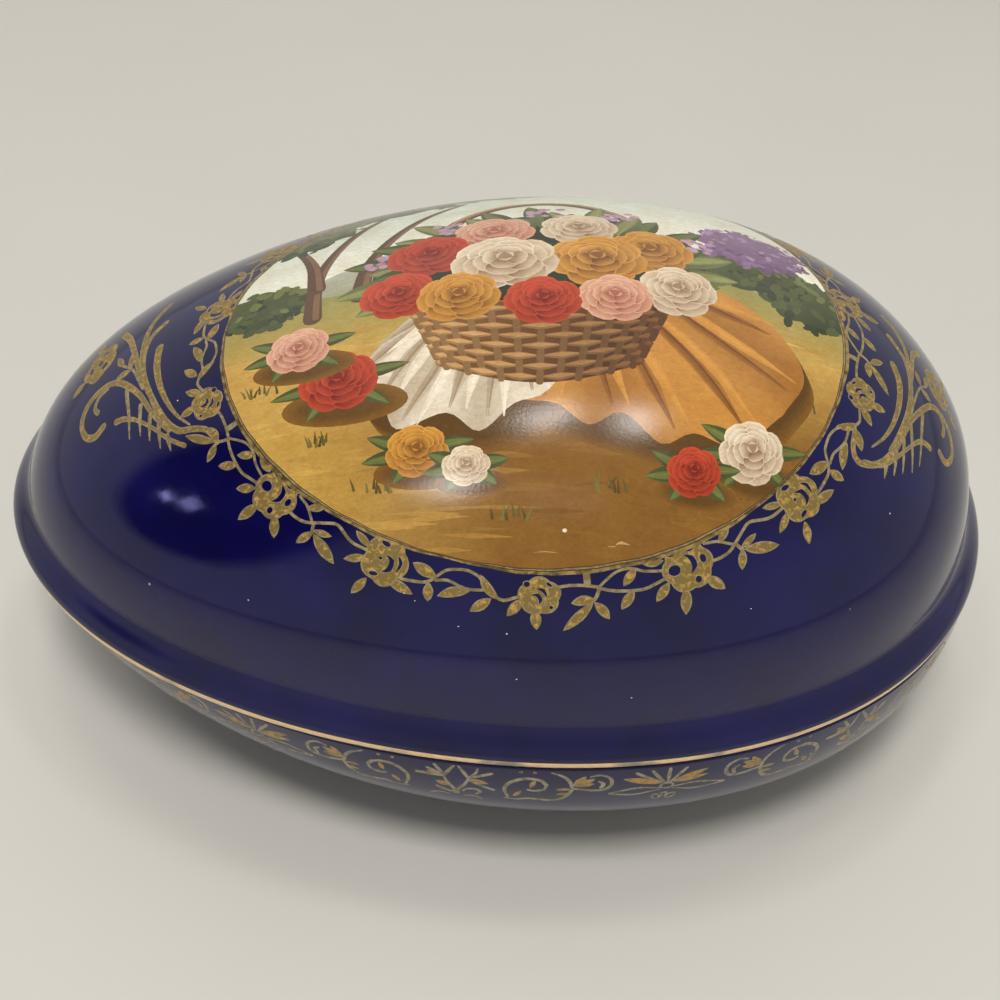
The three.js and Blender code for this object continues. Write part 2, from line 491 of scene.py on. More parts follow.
def round_rose(drawing):
    add_leaf(drawing, (18.4, 1.3), (15.4, 1.0), 1.2)
    add_leaf(drawing, (18.3, 4.4), (16.1, 6.6), 1.4)
    add_leaf(drawing, (20.2, 5.8), (19.3, 9.6), 1.5)
    add_leaf(drawing, (23.1, 5.4), (24.9, 8.2), 1.5)
    add_rose(drawing, (21.3, 3.1), 3.45, 3.5, 6, 0.06, 0)
    add_opening(drawing, (19.6, 0.6), 0.75, 0.5, -10)
    add_opening(drawing, (22.1, 0.7), 0.78, 0.5, 25)
    add_opening(drawing, (19.4, 3.1), 0.85, 0.75)
    add_opening(drawing, (23.6, 2.9), 0.42, 0.6)
    add_opening(drawing, (22.1, 5.4), 0.42, 0.48)
    add_crescent(drawing, [(21.3, 1.5), (22.1, 2.2), (22.2, 3.4), (21.5, 4.2)], 0.75)
    add_line(drawing, [(18.6, 2.5), (19.6, 1.9), (20.6, 2.4)], 0.2)


def link_after_round_rose(drawing):
    add_line(drawing, [(24.5, 1.1), (26.3, 1.6), (27.5, 2.5), (28.5, 3.3)], 0.4)
    add_leaf(drawing, (26.4, 1.9), (28.9, 0.3), 1.2)
    add_line(
        drawing,
        [
            (24.4, 3.8),
            (26, 3.9),
            (27.3, 3.7),
            (28.3, 3.2),
            (29.5, 2.5),
            (31.3, 1.6),
            (32.3, 1.7),
            (33.5, 2.3),
            (35, 2.8),
            (37.3, 2.8),
        ],
    )
    add_line(drawing, [(28.6, 3.3), (29, 4.4)], 0.5)
    add_leaf(drawing, (28.9, 4.1), (31.8, 3.4), 1.0)
    add_leaf(drawing, (29.1, 4.2), (27.8, 6.9), 1.25)
    add_leaf(drawing, (29.2, 4.4), (33.8, 6.7), 1.7)


def pointed_rose(drawing):
    add_leaf(drawing, (37.5, 2.3), (34.5, 1.0), 1.1)
    add_leaf(drawing, (37.5, 3.7), (34.6, 5.4), 1.2)
    add_leaf(drawing, (38.5, 6.4), (37.3, 9.4), 1.25)
    add_leaf(drawing, (40.9, 5.4), (44.9, 6.4), 1.5)
    add_rose(drawing, (40.0, 3.2), 3.15, 3.45, 5, 0.08, 0)
    add_opening(drawing, (39.3, 0.9), 0.7, 0.35, 10)
    add_crescent(drawing, [(40.0, 2.4), (40.9, 2.9), (40.9, 4.2), (40.1, 4.8)], 0.7)
    add_crescent(drawing, [(41.6, 2.0), (42.2, 2.8), (42.0, 4.1)], 0.5)
    add_opening(drawing, (39.3, 3.1), 0.24, 0.2)
    add_opening(drawing, (39.1, 5.5), 0.6, 0.3, -15)
    add_line(drawing, [(37.6, 4.4), (38.6, 4.3), (39.3, 4.8)], 0.2)


# Where the last link starts, past the first rose of the same run
LAST_LINK = 59.4


def link_after_pointed_rose(drawing):
    def shift(*points):
        return [(along + LAST_LINK, out) for along, out in points]

    add_line(drawing, shift((-16.6, 4.8), (-15.6, 4.7), (-13.5, 4.3), (-12.6, 3.7), (-12.1, 3.1)))
    add_leaf(drawing, *shift((-12.0, 3.2), (-15.7, 2.1)), 1.7)
    add_leaf(drawing, *shift((-12.9, 4.1), (-12.4, 6.8)), 1.4)
    add_line(
        drawing,
        shift((-12, 3), (-11, 1.9), (-9.5, 1.4), (-8, 1.3), (-6.5, 1.8), (-5.8, 2.5), (-5.5, 3.4)),
        0.42,
    )
    add_line(drawing, shift((-12, 3.6), (-10.5, 3.2), (-9, 3.6), (-7.5, 3.85), (-5.5, 3.6)), 0.42)
    add_leaf(drawing, *shift((-7.3, 4.1), (-11.4, 5.7)), 1.5, 0.2)
    add_leaf(drawing, *shift((-6.3, 1.5), (-3.4, 4.7)), 1.3, 0.2)
    add_leaf(drawing, *shift((-4.4, 4.6), (-6.9, 6.9)), 1.5)
    add_line(drawing, shift((-3.7, 4.4), (-2.8, 4.7), (-0.8, 4.0)))


# Scroll panels at the egg's two ends


# How wide the scrolls are, as a share of the widths in the drawings
SCROLL_WIDTH = 0.76


def comb(drawing, arc, teeth):
    """A scallop comb: an arc with straight teeth."""
    drawing.append((ribbon(arc, [0.75, 0.6, 0.6, 0.95]), GILT_LINE))
    drawing.append((ribbon(arc, [0.35, 0.25, 0.25, 0.55]), GILT_FILL))
    for tooth in teeth:
        drawing.append((ribbon(tooth, [0.8, 0.6, 0.22]), GILT_LINE))


def scroll(drawing, path, widths):
    """A broad scroll with a bright line on both sides."""
    widths = [width * SCROLL_WIDTH for width in widths]
    drawing.append((ribbon(path, widths), GILT_LINE))
    inner = [max(width - 2 * OUTLINE, 0.1) for width in widths]
    drawing.append((ribbon(path, inner), GILT_FILL))


def small_rose(drawing, centre, size, turn):
    add_rose(drawing, centre, size, size, 5, 0.08, turn)
    for step in range(3):
        angle = math.radians(turn + 120 * step)
        out = 0.55 * size
        spot = (centre[0] + out * math.cos(angle), centre[1] + out * math.sin(angle))
        add_opening(drawing, spot, 0.2 * size, 0.13 * size, turn + 120 * step + 90)
    add_opening(drawing, centre, 0.16 * size, 0.16 * size)


def blunt_end_panel(drawing):
    scroll(
        drawing,
        [(55, 4.3), (52.2, 5.3), (50.9, 6.7), (51.3, 8.3), (53, 10.3), (56, 11.8), (60, 12.6)],
        [0.9, 1.2, 1.3, 1.4, 1.6, 1.3],
    )
    scroll(
        drawing,
        [(54.3, 8.1), (57, 9.5), (60, 10.4), (64, 11), (68, 11), (70.9, 10)],
        [0.4, 0.9, 1.3, 1.7, 1.9],
    )
    scroll(
        drawing,
        [(56, 11.2), (60, 12.2), (65, 13.3), (70, 13.7), (74, 13.2), (77.3, 11.0)],
        [0.8, 1.3, 1.6, 1.4, 1.3, 1.6],
    )
    scroll(drawing, [(72, 13.8), (76, 14.4), (80, 14.2), (82.5, 12.6)], [1.2, 1.3, 1.5])
    scroll(drawing, [(70, 13.9), (74, 15.2), (77, 16.8), (78.3, 19)], [1.1, 1.2, 1.5])
    scroll(
        drawing,
        [
            (56, 11.6),
            (60, 12.9),
            (63, 13.9),
            (66, 16),
            (68.3, 18.5),
            (68.8, 21),
            (67.8, 23.5),
            (65.5, 25),
            (63.3, 24.7),
            (62, 23.2),
            (62.4, 21.3),
        ],
        [0.8, 1.1, 1.3, 1.4, 1.3, 1.3],
    )
    scroll(drawing, [(68.3, 21.3), (67, 22.2), (65.6, 21.9)], [0.9, 1.0, 1.2])
    comb(
        drawing,
        [(51.5, 8), (53, 10.8), (55, 12.3), (58, 14), (60.5, 15.8), (61.4, 17.3), (61.5, 18.8)],
        [
            [(53.5, 11.6), (52, 12.2)],
            [(56.5, 12.4), (53.4, 13.5)],
            [(59.5, 12.9), (54.7, 14.8)],
            [(62.5, 13.8), (60, 14.7), (56, 16.4)],
            [(65.5, 16.3), (62, 16.5), (57.7, 17.4)],
        ],
    )
    add_line(drawing, [(63, 13.5), (67, 14.5), (70, 16), (71.5, 18)], 0.45)
    add_leaf(drawing, (70.2, 16.2), (69.2, 18.8), 1.2)
    add_leaf(drawing, (70.6, 16.3), (73.2, 15.7), 1.2)
    add_leaf(drawing, (71.3, 17.8), (73.6, 18.6), 1.1)
    small_rose(drawing, (73.5, 22), 3.1, 20)
    add_leaf(drawing, (75.5, 24.3), (77.8, 26.8), 1.4)
    add_leaf(drawing, (71.5, 24.4), (69.5, 27), 1.4)


def narrow_end_panel(drawing):
    scroll(
        drawing,
        [(-51.5, 4.8), (-54.4, 5.3), (-56.0, 7.2), (-57.3, 9.6), (-60.5, 11.4), (-65, 13)],
        [0.9, 1.3, 1.4, 1.4, 1.6, 1.3],
    )
    scroll(
        drawing,
        [(-57, 7.5), (-60, 9.2), (-65, 11), (-70, 12.3), (-73.8, 12.8)],
        [0.4, 0.9, 1.3, 1.7, 1.9],
    )
    scroll(
        drawing,
        [(-63, 12.2), (-66, 13.4), (-70, 15), (-74, 15.9), (-77, 15.8), (-79.3, 14.3)],
        [1.0, 1.4, 1.6, 1.4, 1.3, 1.6],
    )
    scroll(drawing, [(-71, 15.4), (-76, 16.9), (-80, 17.8), (-84.3, 17.6)], [1.3, 1.4, 1.5])
    scroll(drawing, [(-69, 15), (-74, 17.8), (-77.8, 21), (-80.2, 24.5)], [1.2, 1.3, 1.5])
    scroll(
        drawing,
        [
            (-58, 11),
            (-62, 13),
            (-66, 15),
            (-69, 18),
            (-70.5, 21),
            (-70.1, 24.3),
            (-68.5, 26.4),
            (-66.4, 27),
            (-64.5, 26),
            (-63.8, 24.2),
            (-64.5, 22.3),
        ],
        [0.8, 1.1, 1.3, 1.4, 1.3, 1.3],
    )
    scroll(drawing, [(-70, 22), (-69.2, 23.8), (-67.8, 24.3), (-67, 23.6)], [0.8, 0.9, 1.1])
    comb(
        drawing,
        [(-54.5, 9.5), (-57, 11.5), (-60, 13.5), (-62.5, 16), (-63.7, 18.2), (-64, 19.8)],
        [
            [(-57.5, 11.5), (-55.2, 11.8)],
            [(-60, 12.3), (-56.5, 13.2)],
            [(-62, 13.5), (-58.5, 14.5)],
            [(-64.5, 15), (-60, 15.8)],
            [(-68, 17.8), (-64, 17.3), (-60.5, 17.8)],
        ],
    )
    add_line(drawing, [(-67, 14.6), (-69.5, 16), (-71.5, 17.5), (-73, 20)], 0.45)
    add_leaf(drawing, (-71.6, 17.7), (-74.6, 18.8), 1.2)
    add_leaf(drawing, (-71.4, 17.8), (-71.1, 20.6), 1.2)
    add_leaf(drawing, (-72.8, 19.7), (-74.9, 21.9), 1.1)
    small_rose(drawing, (-75.6, 26.3), 3.1, 60)
    add_leaf(drawing, (-73.4, 28.3), (-71.8, 30.8), 1.4)
    add_leaf(drawing, (-78, 28.2), (-80.4, 30.4), 1.4)


# The band on the base, in millimetres along the rim and down from it


def band_run(drawing):
    """One run of the band: a star, a scroll with a sprig, a fan, and the scroll turned round."""

    def line(points, width=0.55):
        drawing.append((ribbon(points, [width * 0.7, width * 1.15, width]), BAND_LINE))

    def leaf(base, tip, width):
        drawing.append((leaf_outline(base, tip, width), BAND_LINE))
        drawing.append((leaf_outline(base, tip, width, 0, 0.16), BAND_FILL))

    def loop(centre, half_x, half_y, turn=0):
        drawing.append((oval(centre, half_x, half_y, turn), BAND_LINE))
        drawing.append((oval(centre, half_x - 0.42, half_y - 0.42, turn), GLAZE))

    def star():
        for side in (-1, 1):
            line([(0.35 * side, 0.9), (1.2 * side, 2.4), (1.9 * side, 3.8)])
            line([(1.9 * side, 3.8), (1.3 * side, 5.6), (0.35 * side, 7.4), (0.25 * side, 9)])
            line([(1.2 * side, 9.8), (2.6 * side, 9.4), (3.9 * side, 10.2)], 0.45)
        leaf((-1.5, 3.6), (-4.5, 2.9), 1.2)
        line([(-1.9, 3.8), (-5.9, 3.7)], 0.7)
        line([(-2.1, 3.4), (-4.3, 2.2)])
        line([(-1.9, 3.2), (-3.2, 1.2)])
        leaf((-0.9, 6.6), (-3.1, 5.5), 1.3)
        line([(-0.5, 8.6), (-1.8, 8.1), (-2.9, 7.3)], 0.6)
        line([(1.8, 3.7), (3.5, 2.9), (5.3, 2.0)], 0.6)
        line([(1.9, 3.5), (3.0, 2.1), (3.2, 1.1)], 0.4)
        leaf((1.7, 4.0), (5.0, 4.9), 1.1)
        line([(1.9, 4.3), (3.6, 5.4), (5.7, 6.6)], 0.6)
        line([(1.0, 8.0), (1.6, 7.1), (2.9, 6.8), (3.7, 7.6), (3.1, 8.5)])

    def scroll_pair(along, side):
        def turned(*points):
            return [(along + side * step, down) for step, down in points]

        curl = turned(
            (-2.9, 8.6), (-3.5, 6), (-2.9, 4.2), (-1.4, 3), (0.1, 2.7), (1.9, 3.1), (2.7, 4.3)
        )
        line(curl, 0.65)
        line(turned((2.7, 4.3), (2.4, 5.6), (1.0, 6.1), (0.1, 5.8)))
        leaf(*turned((1.0, 3.1), (0.3, 5.2)), 0.9)
        leaf(*turned((-2.1, 8.2), (-0.9, 6.2)), 0.9)
        line(turned((-3.3, 9.0), (-1.5, 9.3), (0.3, 8.8), (4.1, 9.2), (5.9, 7.5), (6.6, 5.5)), 0.65)
        line(turned((3.4, 1.0), (5.2, 2.0), (6.2, 3.4), (6.7, 5.4)))
        for tip, width in (((8.5, 1.8), 1.2), ((9.9, 2.5), 1.3), ((9.9, 3.9), 1.1)):
            leaf(*turned((6.7, 4.4), tip), width)
        leaf(*turned((6.5, 5.4), (4.1, 5.5)), 0.8)
        leaf(*turned((6.3, 6.6), (4.3, 7.1)), 0.8)
        hook = turned(
            (9.2, 2), (10.6, 1.6), (12.1, 2.5), (12.4, 4), (11.6, 5.5), (9.6, 5.8), (7.1, 5.2)
        )
        line(hook, 0.6)
        line(turned((10.5, 3.3), (11.2, 3.9), (10.9, 5.0)), 0.6)
        loop((along - 1.2 * side, 1.1), 0.3, 0.3)
        loop((along + 0.9 * side, 1.1), 0.3, 0.3)

    def fan(along):
        def moved(*points):
            return [(along + step, down) for step, down in points]

        rays = ((-0.9, -3.2, -5.0), (-0.5, -1.6, -2.6), (0, 0, 0), (0.5, 1.4, 2.6))
        for start, middle, tip in rays:
            line(moved((start, 4.6), (middle, 3.0), (tip, 1.1 + 0.1 * abs(tip))))
        leaf(*moved((-0.6, 4.8), (-7.0, 2.9)), 1.5)
        leaf(*moved((0.6, 4.6), (6.0, 2.3)), 1.3)
        leaf(*moved((0.8, 4.9), (6.2, 3.8)), 1.2)
        for side, reach in ((-1, 8.6), (1, 9.2)):
            line(moved((1.0 * side, 6.2), (4.6 * side, 5.7), (reach * side, 6.9)), 0.45)
            line(moved((1.0 * side, 6.7), (4.8 * side, 7.7), (reach * side, 7.1)), 0.45)
            loop((along + 1.15 * side, 9.2), 0.8, 1.15, 25 * side)
        loop((along, 5.7), 1.2, 1.0)
        loop((along, 8.5), 0.65, 0.9)

    star()
    scroll_pair(10.8, 1)
    fan(31.8)
    scroll_pair(53.2, -1)


# Repeating a drawing along a line


def make_repeat_tree(material):
    """Copies its own geometry along a line, and makes the copies real."""
    tree = bpy.data.node_groups.new("Repeat along a line", "GeometryNodeTree")
    sockets = tree.interface
    sockets.new_socket("Geometry", in_out="INPUT", socket_type="NodeSocketGeometry")
    repeats = sockets.new_socket("Repeats", in_out="INPUT", socket_type="NodeSocketInt")
    spacing = sockets.new_socket("Spacing", in_out="INPUT", socket_type="NodeSocketFloat")
    sockets.new_socket("Geometry", in_out="OUTPUT", socket_type="NodeSocketGeometry")
    entry = tree.nodes.new("NodeGroupInput")
    leave = tree.nodes.new("NodeGroupOutput")
    offset = tree.nodes.new("ShaderNodeCombineXYZ")
    line = tree.nodes.new("GeometryNodeMeshLine")
    copies = tree.nodes.new("GeometryNodeInstanceOnPoints")
    realize = tree.nodes.new("GeometryNodeRealizeInstances")
    finish = tree.nodes.new("GeometryNodeSetMaterial")
    finish.inputs["Material"].default_value = material
    link = tree.links.new
    link(entry.outputs["Spacing"], offset.inputs["X"])
    link(entry.outputs["Repeats"], line.inputs["Count"])
    link(offset.outputs["Vector"], line.inputs["Offset"])
    link(line.outputs["Mesh"], copies.inputs["Points"])
    link(entry.outputs["Geometry"], copies.inputs["Instance"])
    link(copies.outputs["Instances"], realize.inputs["Geometry"])
    link(realize.outputs["Geometry"], finish.inputs["Geometry"])
    link(finish.outputs["Geometry"], leave.inputs["Geometry"])
    return tree, repeats.identifier, spacing.identifier


def repeat_drawing(drawing, repeats, spacing, material):
    """The drawing's copies along its first axis, as a longer drawing."""
    corners = np.vstack([points for points, _ in drawing])
    faces = []
    start = 0
    for points, _ in drawing:
        faces.append(range(start, start + len(points)))
        start += len(points)
    mesh = bpy.data.meshes.new("run")
    mesh.from_pydata([(x, y, 0) for x, y in corners], [], faces)
    mesh.attributes.new("finish", "INT", "FACE").data.foreach_set(
        "value", [finish for _, finish in drawing]
    )
    run = bpy.data.objects.new("run", mesh)
    bpy.context.scene.collection.objects.link(run)
    tree, repeats_socket, spacing_socket = make_repeat_tree(material)
    modifier = run.modifiers.new("Repeat", "NODES")
    modifier.node_group = tree
    modifier[repeats_socket] = repeats
    modifier[spacing_socket] = float(spacing)
    graph = bpy.context.evaluated_depsgraph_get()
    whole = bpy.data.meshes.new_from_object(run.evaluated_get(graph))
    places = np.array([vertex.co[:2] for vertex in whole.vertices])
    finishes = [entry.value for entry in whole.attributes["finish"].data]
    longer = [
        (places[list(face.vertices)], finish) for face, finish in zip(whole.polygons, finishes)
    ]
    run.modifiers.remove(modifier)
    bpy.data.objects.remove(run)
    bpy.data.meshes.remove(mesh)
    bpy.data.meshes.remove(whole)
    bpy.data.node_groups.remove(tree)
    return longer


# Cutting a drawing into a flat plan


def grid_points(half_x, half_y, spacing):
    """A triangular grid inside an ellipse."""
    rows = np.arange(-half_y, half_y, spacing * math.sqrt(3) / 2)
    points = []
    for index, y in enumerate(rows):
        x = np.arange(-half_x, half_x, spacing) + (index % 2) * spacing / 2
        points.append(np.stack([x, np.full(len(x), y)], -1))
    points = np.vstack(points)
    return points[(points[:, 0] / half_x) ** 2 + (points[:, 1] / half_y) ** 2 < 1]


# The longest edge of a shape, in millimetres, that still follows the curved shells
LONGEST_EDGE = 1.2


def divided(loop):
    """The loop with its long edges divided, so that they follow the curved surface."""
    after = np.roll(loop, -1, 0)
    lengths = np.linalg.norm(after - loop, axis=1)
    if lengths.max() <= LONGEST_EDGE:
        return loop
    pieces = []
    for start, end, length in zip(loop, after, lengths):
        count = int(math.ceil(length / LONGEST_EDGE)) or 1
        pieces.append(start + (end - start) * (np.arange(count) / count)[:, None])
    return np.vstack(pieces)


def anticlockwise(loop):
    after = np.roll(loop, -1, 0)
    area = (loop[:, 0] * after[:, 1] - loop[:, 1] * after[:, 0]).sum()
    return loop if area > 0 else loop[::-1]


def triangulate(points, edges, faces):
    vectors = [Vector((float(x), float(y))) for x, y in points]
    places, _, triangles, sources, _, owners = delaunay_2d_cdt(vectors, edges, faces, 0, 1e-5, True)
    found = {source: index for index, merged in enumerate(sources) for source in merged}
    return np.array([tuple(place) for place in places]), np.array(triangles), owners, found


def closed_edges(start, count):
    return [(start + side, start + (side + 1) % count) for side in range(count)]


def showing_edges(triangles, tops):
    """The edges between two triangles that show different shapes."""
    edges = np.sort(triangles[:, [0, 1, 1, 2, 2, 0]].reshape(-1, 2), axis=1)
    shown = np.repeat(tops, 3)
    order = np.lexsort((edges[:, 1], edges[:, 0]))
    edges, shown = edges[order], shown[order]
    same = (edges[1:] == edges[:-1]).all(1) & (shown[1:] != shown[:-1])
    return edges[1:][same]


# How far a shape's edge may be moved when points are taken out of it, in millimetres
STRAIGHT_ENOUGH = 0.012


def straightened(points, edges, kept):
    """The edges without the points that only divide a straight stretch of them."""
    ends = {}
    for first, second in edges:
        ends.setdefault(first, set()).add(second)
        ends.setdefault(second, set()).add(first)
    for middle in list(ends):
        if middle in kept or len(ends[middle]) != 2:
            continue
        first, second = ends[middle]
        one, two = points[middle] - points[first], points[second] - points[middle]
        span = points[second] - points[first]
        length = math.hypot(*span)
        bulge = abs(one[0] * two[1] - one[1] * two[0]) / max(length, 1e-9)
        if bulge < STRAIGHT_ENOUGH and length < LONGEST_EDGE and second not in ends[first]:
            ends[first].discard(middle)
            ends[second].discard(middle)
            ends[first].add(second)
            ends[second].add(first)
            del ends[middle]
    return [(first, second) for first in ends for second in ends[first] if first < second]


def cut(outline, hole, grid, shapes, top_of):
    """Triangles of the plan inside outline and outside hole, each with the shape that shows.

    top_of picks that shape from the numbers of all shapes over a triangle. A first pass
    crosses every shape with every other. A second keeps only the edges that show.
    """
    loops = [outline] if hole is None else [outline, hole]
    fixed = sum(len(loop) for loop in loops)
    edges = closed_edges(0, len(outline))
    if hole is not None:
        edges += closed_edges(len(outline), len(hole))
    loops += [anticlockwise(divided(shape)) for shape in shapes]
    faces = []
    start = fixed
    for loop in loops[1 if hole is None else 2 :]:
        faces.append(list(range(start, start + len(loop))))
        start += len(loop)
    places, triangles, owners, found = triangulate(np.vstack(loops), edges, faces)
    tops = np.array([top_of(owner) for owner in owners])
    loop_points = [found[index] for index in range(fixed)]
    shown = straightened(places, showing_edges(triangles, tops), set(loop_points))
    used = loop_points + sorted({index for edge in shown for index in edge} - set(loop_points))
    rank = {index: order for order, index in enumerate(used)}
    edges += [(rank[first], rank[second]) for first, second in shown]
    points = np.vstack([places[used], grid])
    flat, final, _, found = triangulate(points, edges, [])
    tree = BVHTree.FromPolygons([(x, y, 0) for x, y in places], triangles.tolist())
    centres = flat[final].mean(1)
    shapes_shown = [
        tops[tree.find_nearest((float(x), float(y), 0.0))[2]] for x, y in centres
    ]
    if hole is not None:
        inner_reach = np.hypot(hole[:, 0], hole[:, 1]).min()
        keep = np.hypot(centres[:, 0], centres[:, 1]) > inner_reach
        final = final[keep]
        shapes_shown = [top for top, kept in zip(shapes_shown, keep) if kept]
    ring = [found[index] for index in range(fixed)]
    return flat, final.tolist(), shapes_shown, ring[: len(outline)], ring[len(outline) :]


# Building a shell's mesh


class Shell:
    """Collects points, faces and their finishes, in millimetres."""

    def __init__(self):
        self.points = []
        self.normals = []
        self.faces = []
        self.finishes = []
        self.tints = {}

    def add_points(self, points, normals=None):
        start = len(self.points)
        self.points.extend(points)
        self.normals.extend(np.zeros((len(points), 3)) if normals is None else normals)
        return list(range(start, start + len(points)))

    def add_ring_faces(self, first, second, finish, inner=False):
        """Quads between two rings. They face outwards where the way leads down, or, for an
        inner way, where it leads up."""
        count = len(first)
        for side in range(count):
            after = (side + 1) % count
            face = (first[side], second[side], second[after], first[after])
            self.faces.append(face[::-1] if inner else face)
            self.finishes.append(finish)

    def add_rings(self, ring, sections, angle, inner=False):
        """Rings after ring. Each section is (share, inset, height, finish of the way to it)."""
        for share, inset, height, finish in sections:
            x, y = plan(share * np.cos(angle), share * np.sin(angle), inset)
            z = np.broadcast_to(np.asarray(height, float), x.shape)
            following = self.add_points(np.stack([x, y, z], -1))
            self.add_ring_faces(ring, following, finish, inner)
            ring = following
        return ring

    def close(self, ring, pole, finish, inner=False):
        top = self.add_points(np.array([pole]))[0]
        for side in range(len(ring)):
            face = (ring[side], top, ring[(side + 1) % len(ring)])
            self.faces.append(face[::-1] if inner else face)
            self.finishes.append(finish)

    def build(self, name, materials):
        mesh = bpy.data.meshes.new(name)
        places = np.array(self.points) * MM
        mesh.from_pydata([tuple(place) for place in places], [], self.faces)
        for material in materials:
            mesh.materials.append(material)
        mesh.polygons.foreach_set("material_index", self.finishes)
        mesh.polygons.foreach_set("use_smooth", [True] * len(self.faces))
        if self.tints:
            tint = mesh.color_attributes.new("paint", "FLOAT_COLOR", "CORNER")
            values = np.ones((len(mesh.loops), 4))
            starts = [face.loop_start for face in mesh.polygons]
            for face, colours in self.tints.items():
                values[starts[face] : starts[face] + len(colours), :3] = colours
            tint.data.foreach_set("color", values.ravel())
        mesh.validate(clean_customdata=False)
        mesh.normals_split_custom_set_from_vertices([tuple(normal) for normal in self.normals])
        mesh.update()
        piece = bpy.data.objects.new(name, mesh)
        bpy.context.scene.collection.objects.link(piece)
        return piece


# The painted oval: a basket of garden flowers on a golden cloth in a meadow


def tone(red, green, blue):
    """A paint colour, given as screen values from 0 to 255."""
    value = np.array([red, green, blue]) / 255
    return np.where(value <= 0.04045, value / 12.92, ((value + 0.055) / 1.055) ** 2.4)


def mixed(first, second, share):
    share = np.clip(np.asarray(share, float), 0, 1)[..., None]
    return first * (1 - share) + second * share


class Painting:
    """Shapes with a paint each, in millimetres from the middle of the oval."""

    def __init__(self, seed):
        self.random = np.random.default_rng(seed)
        self.shapes = []
        self.paints = []

    def add(self, outline, paint):
        """paint turns places into their colours."""
        self.shapes.append(outline)
        self.paints.append(paint)

    def plain(self, outline, colour):
        self.add(outline, lambda places: np.broadcast_to(colour, (len(places), 3)))

    def shaded(self, outline, first, second, start, end):
        """Paint that goes from the first colour at start to the second at end."""
        start, end = np.asarray(start, float), np.asarray(end, float)
        axis = end - start
        size = axis @ axis

        def paint(places):
            return mixed(first, second, (places - start) @ axis / size)

        self.add(outline, paint)

    def dab(self, centre, length, width, turn, colour, spread=0.12):
        """One touch of the brush, its colour a little different each time."""
        shift = 1 + self.random.uniform(-spread, spread)
        self.plain(oval(centre, length / 2, width / 2, turn, 8), colour * shift)

    def stroke(self, points, widths, colour, step=1.2):
        self.plain(ribbon(points, widths, step), colour)

    def petal(self, centre, heading, start, reach, width, shadow, light):
        """A rounded petal. Its light rim is past the shadow that the next ring casts."""
        centre = np.asarray(centre, float)
        angle = math.radians(heading)
        axis = np.array([math.cos(angle), math.sin(angle)])
        side = np.array([-axis[1], axis[0]])
        lean = self.random.uniform(-0.5, 0.5)

        def paint(places):
            out = ((places - centre) @ axis - start) / (reach - start)
            across = (places - centre) @ side / width
            tone_share = np.clip(out, 0, 1) ** 0.75 * (0.86 + 0.5 * across * lean)
            return mixed(shadow, light, tone_share)

        for scale, rim in ((1.0, True), (0.93, False)):
            middle = centre + axis * reach * (0.52 if rim else 0.49)
            outline = lobed(middle, reach * 0.5 * scale, width * 0.5 * scale, 3, 0.05, 60)
            turned = outline - middle
            turned = turned[:, :1] * axis + turned[:, 1:] * side
            outline = (middle + turned)[::3]
            if rim:
                self.plain(outline, mixed(shadow, light, 0.82))
            else:
                self.add(outline, paint)

    def bloom(self, centre, size, shadow, light, turn=0.0):
        """A full rose, a little tipped up: rings of petals round a rolled heart."""
        centre = np.asarray(centre, float)
        # Each ring's petals, reach, width and start
        rings = (
            (7, 1.0, 0.92, 0.62),
            (6, 0.8, 0.8, 0.48),
            (5, 0.6, 0.66, 0.34),
            (4, 0.42, 0.5, 0.2),
        )
        for ring, (count, reach, width, start) in enumerate(rings):
            heart = centre + np.array([0, 0.05 * ring * size])
            gloom = mixed(shadow, light, 0.1)
            self.plain(oval(heart, size * reach * 0.84, size * reach * 0.8, 0, 18), gloom)
            for index in range(count):
                heading = turn + 360 * index / count + 31 * ring + self.random.uniform(-8, 8)
                facing = 0.5 + 0.5 * math.cos(math.radians(heading - 115))
                lit = mixed(shadow, light, 0.72 + 0.33 * facing)
                dim = mixed(shadow, light, 0.05 + 0.2 * facing)
                self.petal(heart, heading, size * start, size * reach, size * width, dim, lit)
        heart = centre + np.array([0, 0.18 * size])
        self.plain(oval(heart, size * 0.2, size * 0.17, turn, 12), mixed(shadow, light, 0.15))
        for index in range(3):
            begin = math.radians(turn + 120 * index)
            arc = [
                heart + size * 0.15 * np.array([math.cos(begin + step), math.sin(begin + step)])
                for step in (0, 0.8, 1.6)
            ]
            lit = mixed(shadow, light, 0.62)
            self.stroke(arc, [0.02 * size, 0.075 * size, 0.02 * size], lit, 0.4)

    def draped(self, outline, gather, folds, shadow, light):
        """A cloth whose folds run out from where it is gathered to its edge."""
        gather = np.asarray(gather, float)

        def paint(places):
            away = places - gather
            turn = np.arctan2(away[:, 1], away[:, 0])
            wave = np.sin(folds * turn + 1.5 * np.sin(turn * 3))
            return mixed(shadow, light, 0.62 + 0.2 * wave)

        self.add(outline, paint)
        for index in range(folds):
            away = outline[int((index + 0.5) * len(outline) / folds)] - gather
            side = np.array([-away[1], away[0]]) / np.linalg.norm(away)
            bend = self.random.uniform(-1.0, 1.0)
            for shift, share, width in (
                (-0.6, 0.42, 2.4),
                (-0.7, 0.22, 1.3),
                (-0.5, 0.05, 0.4),
                (0.9, 0.86, 1.9),
                (1.0, 0.98, 0.8),
            ):
                path = [
                    gather + away * 0.3 + side * shift * 0.5,
                    gather + away * 0.65 + side * (shift + bend) * 0.9,
                    gather + away * 0.965 + side * (shift * 1.3 + bend * 0.3),
                ]
                widths = [0.1, width * 0.8, width * 0.75, 0.05]
                self.stroke(path, widths, mixed(shadow, light, share))

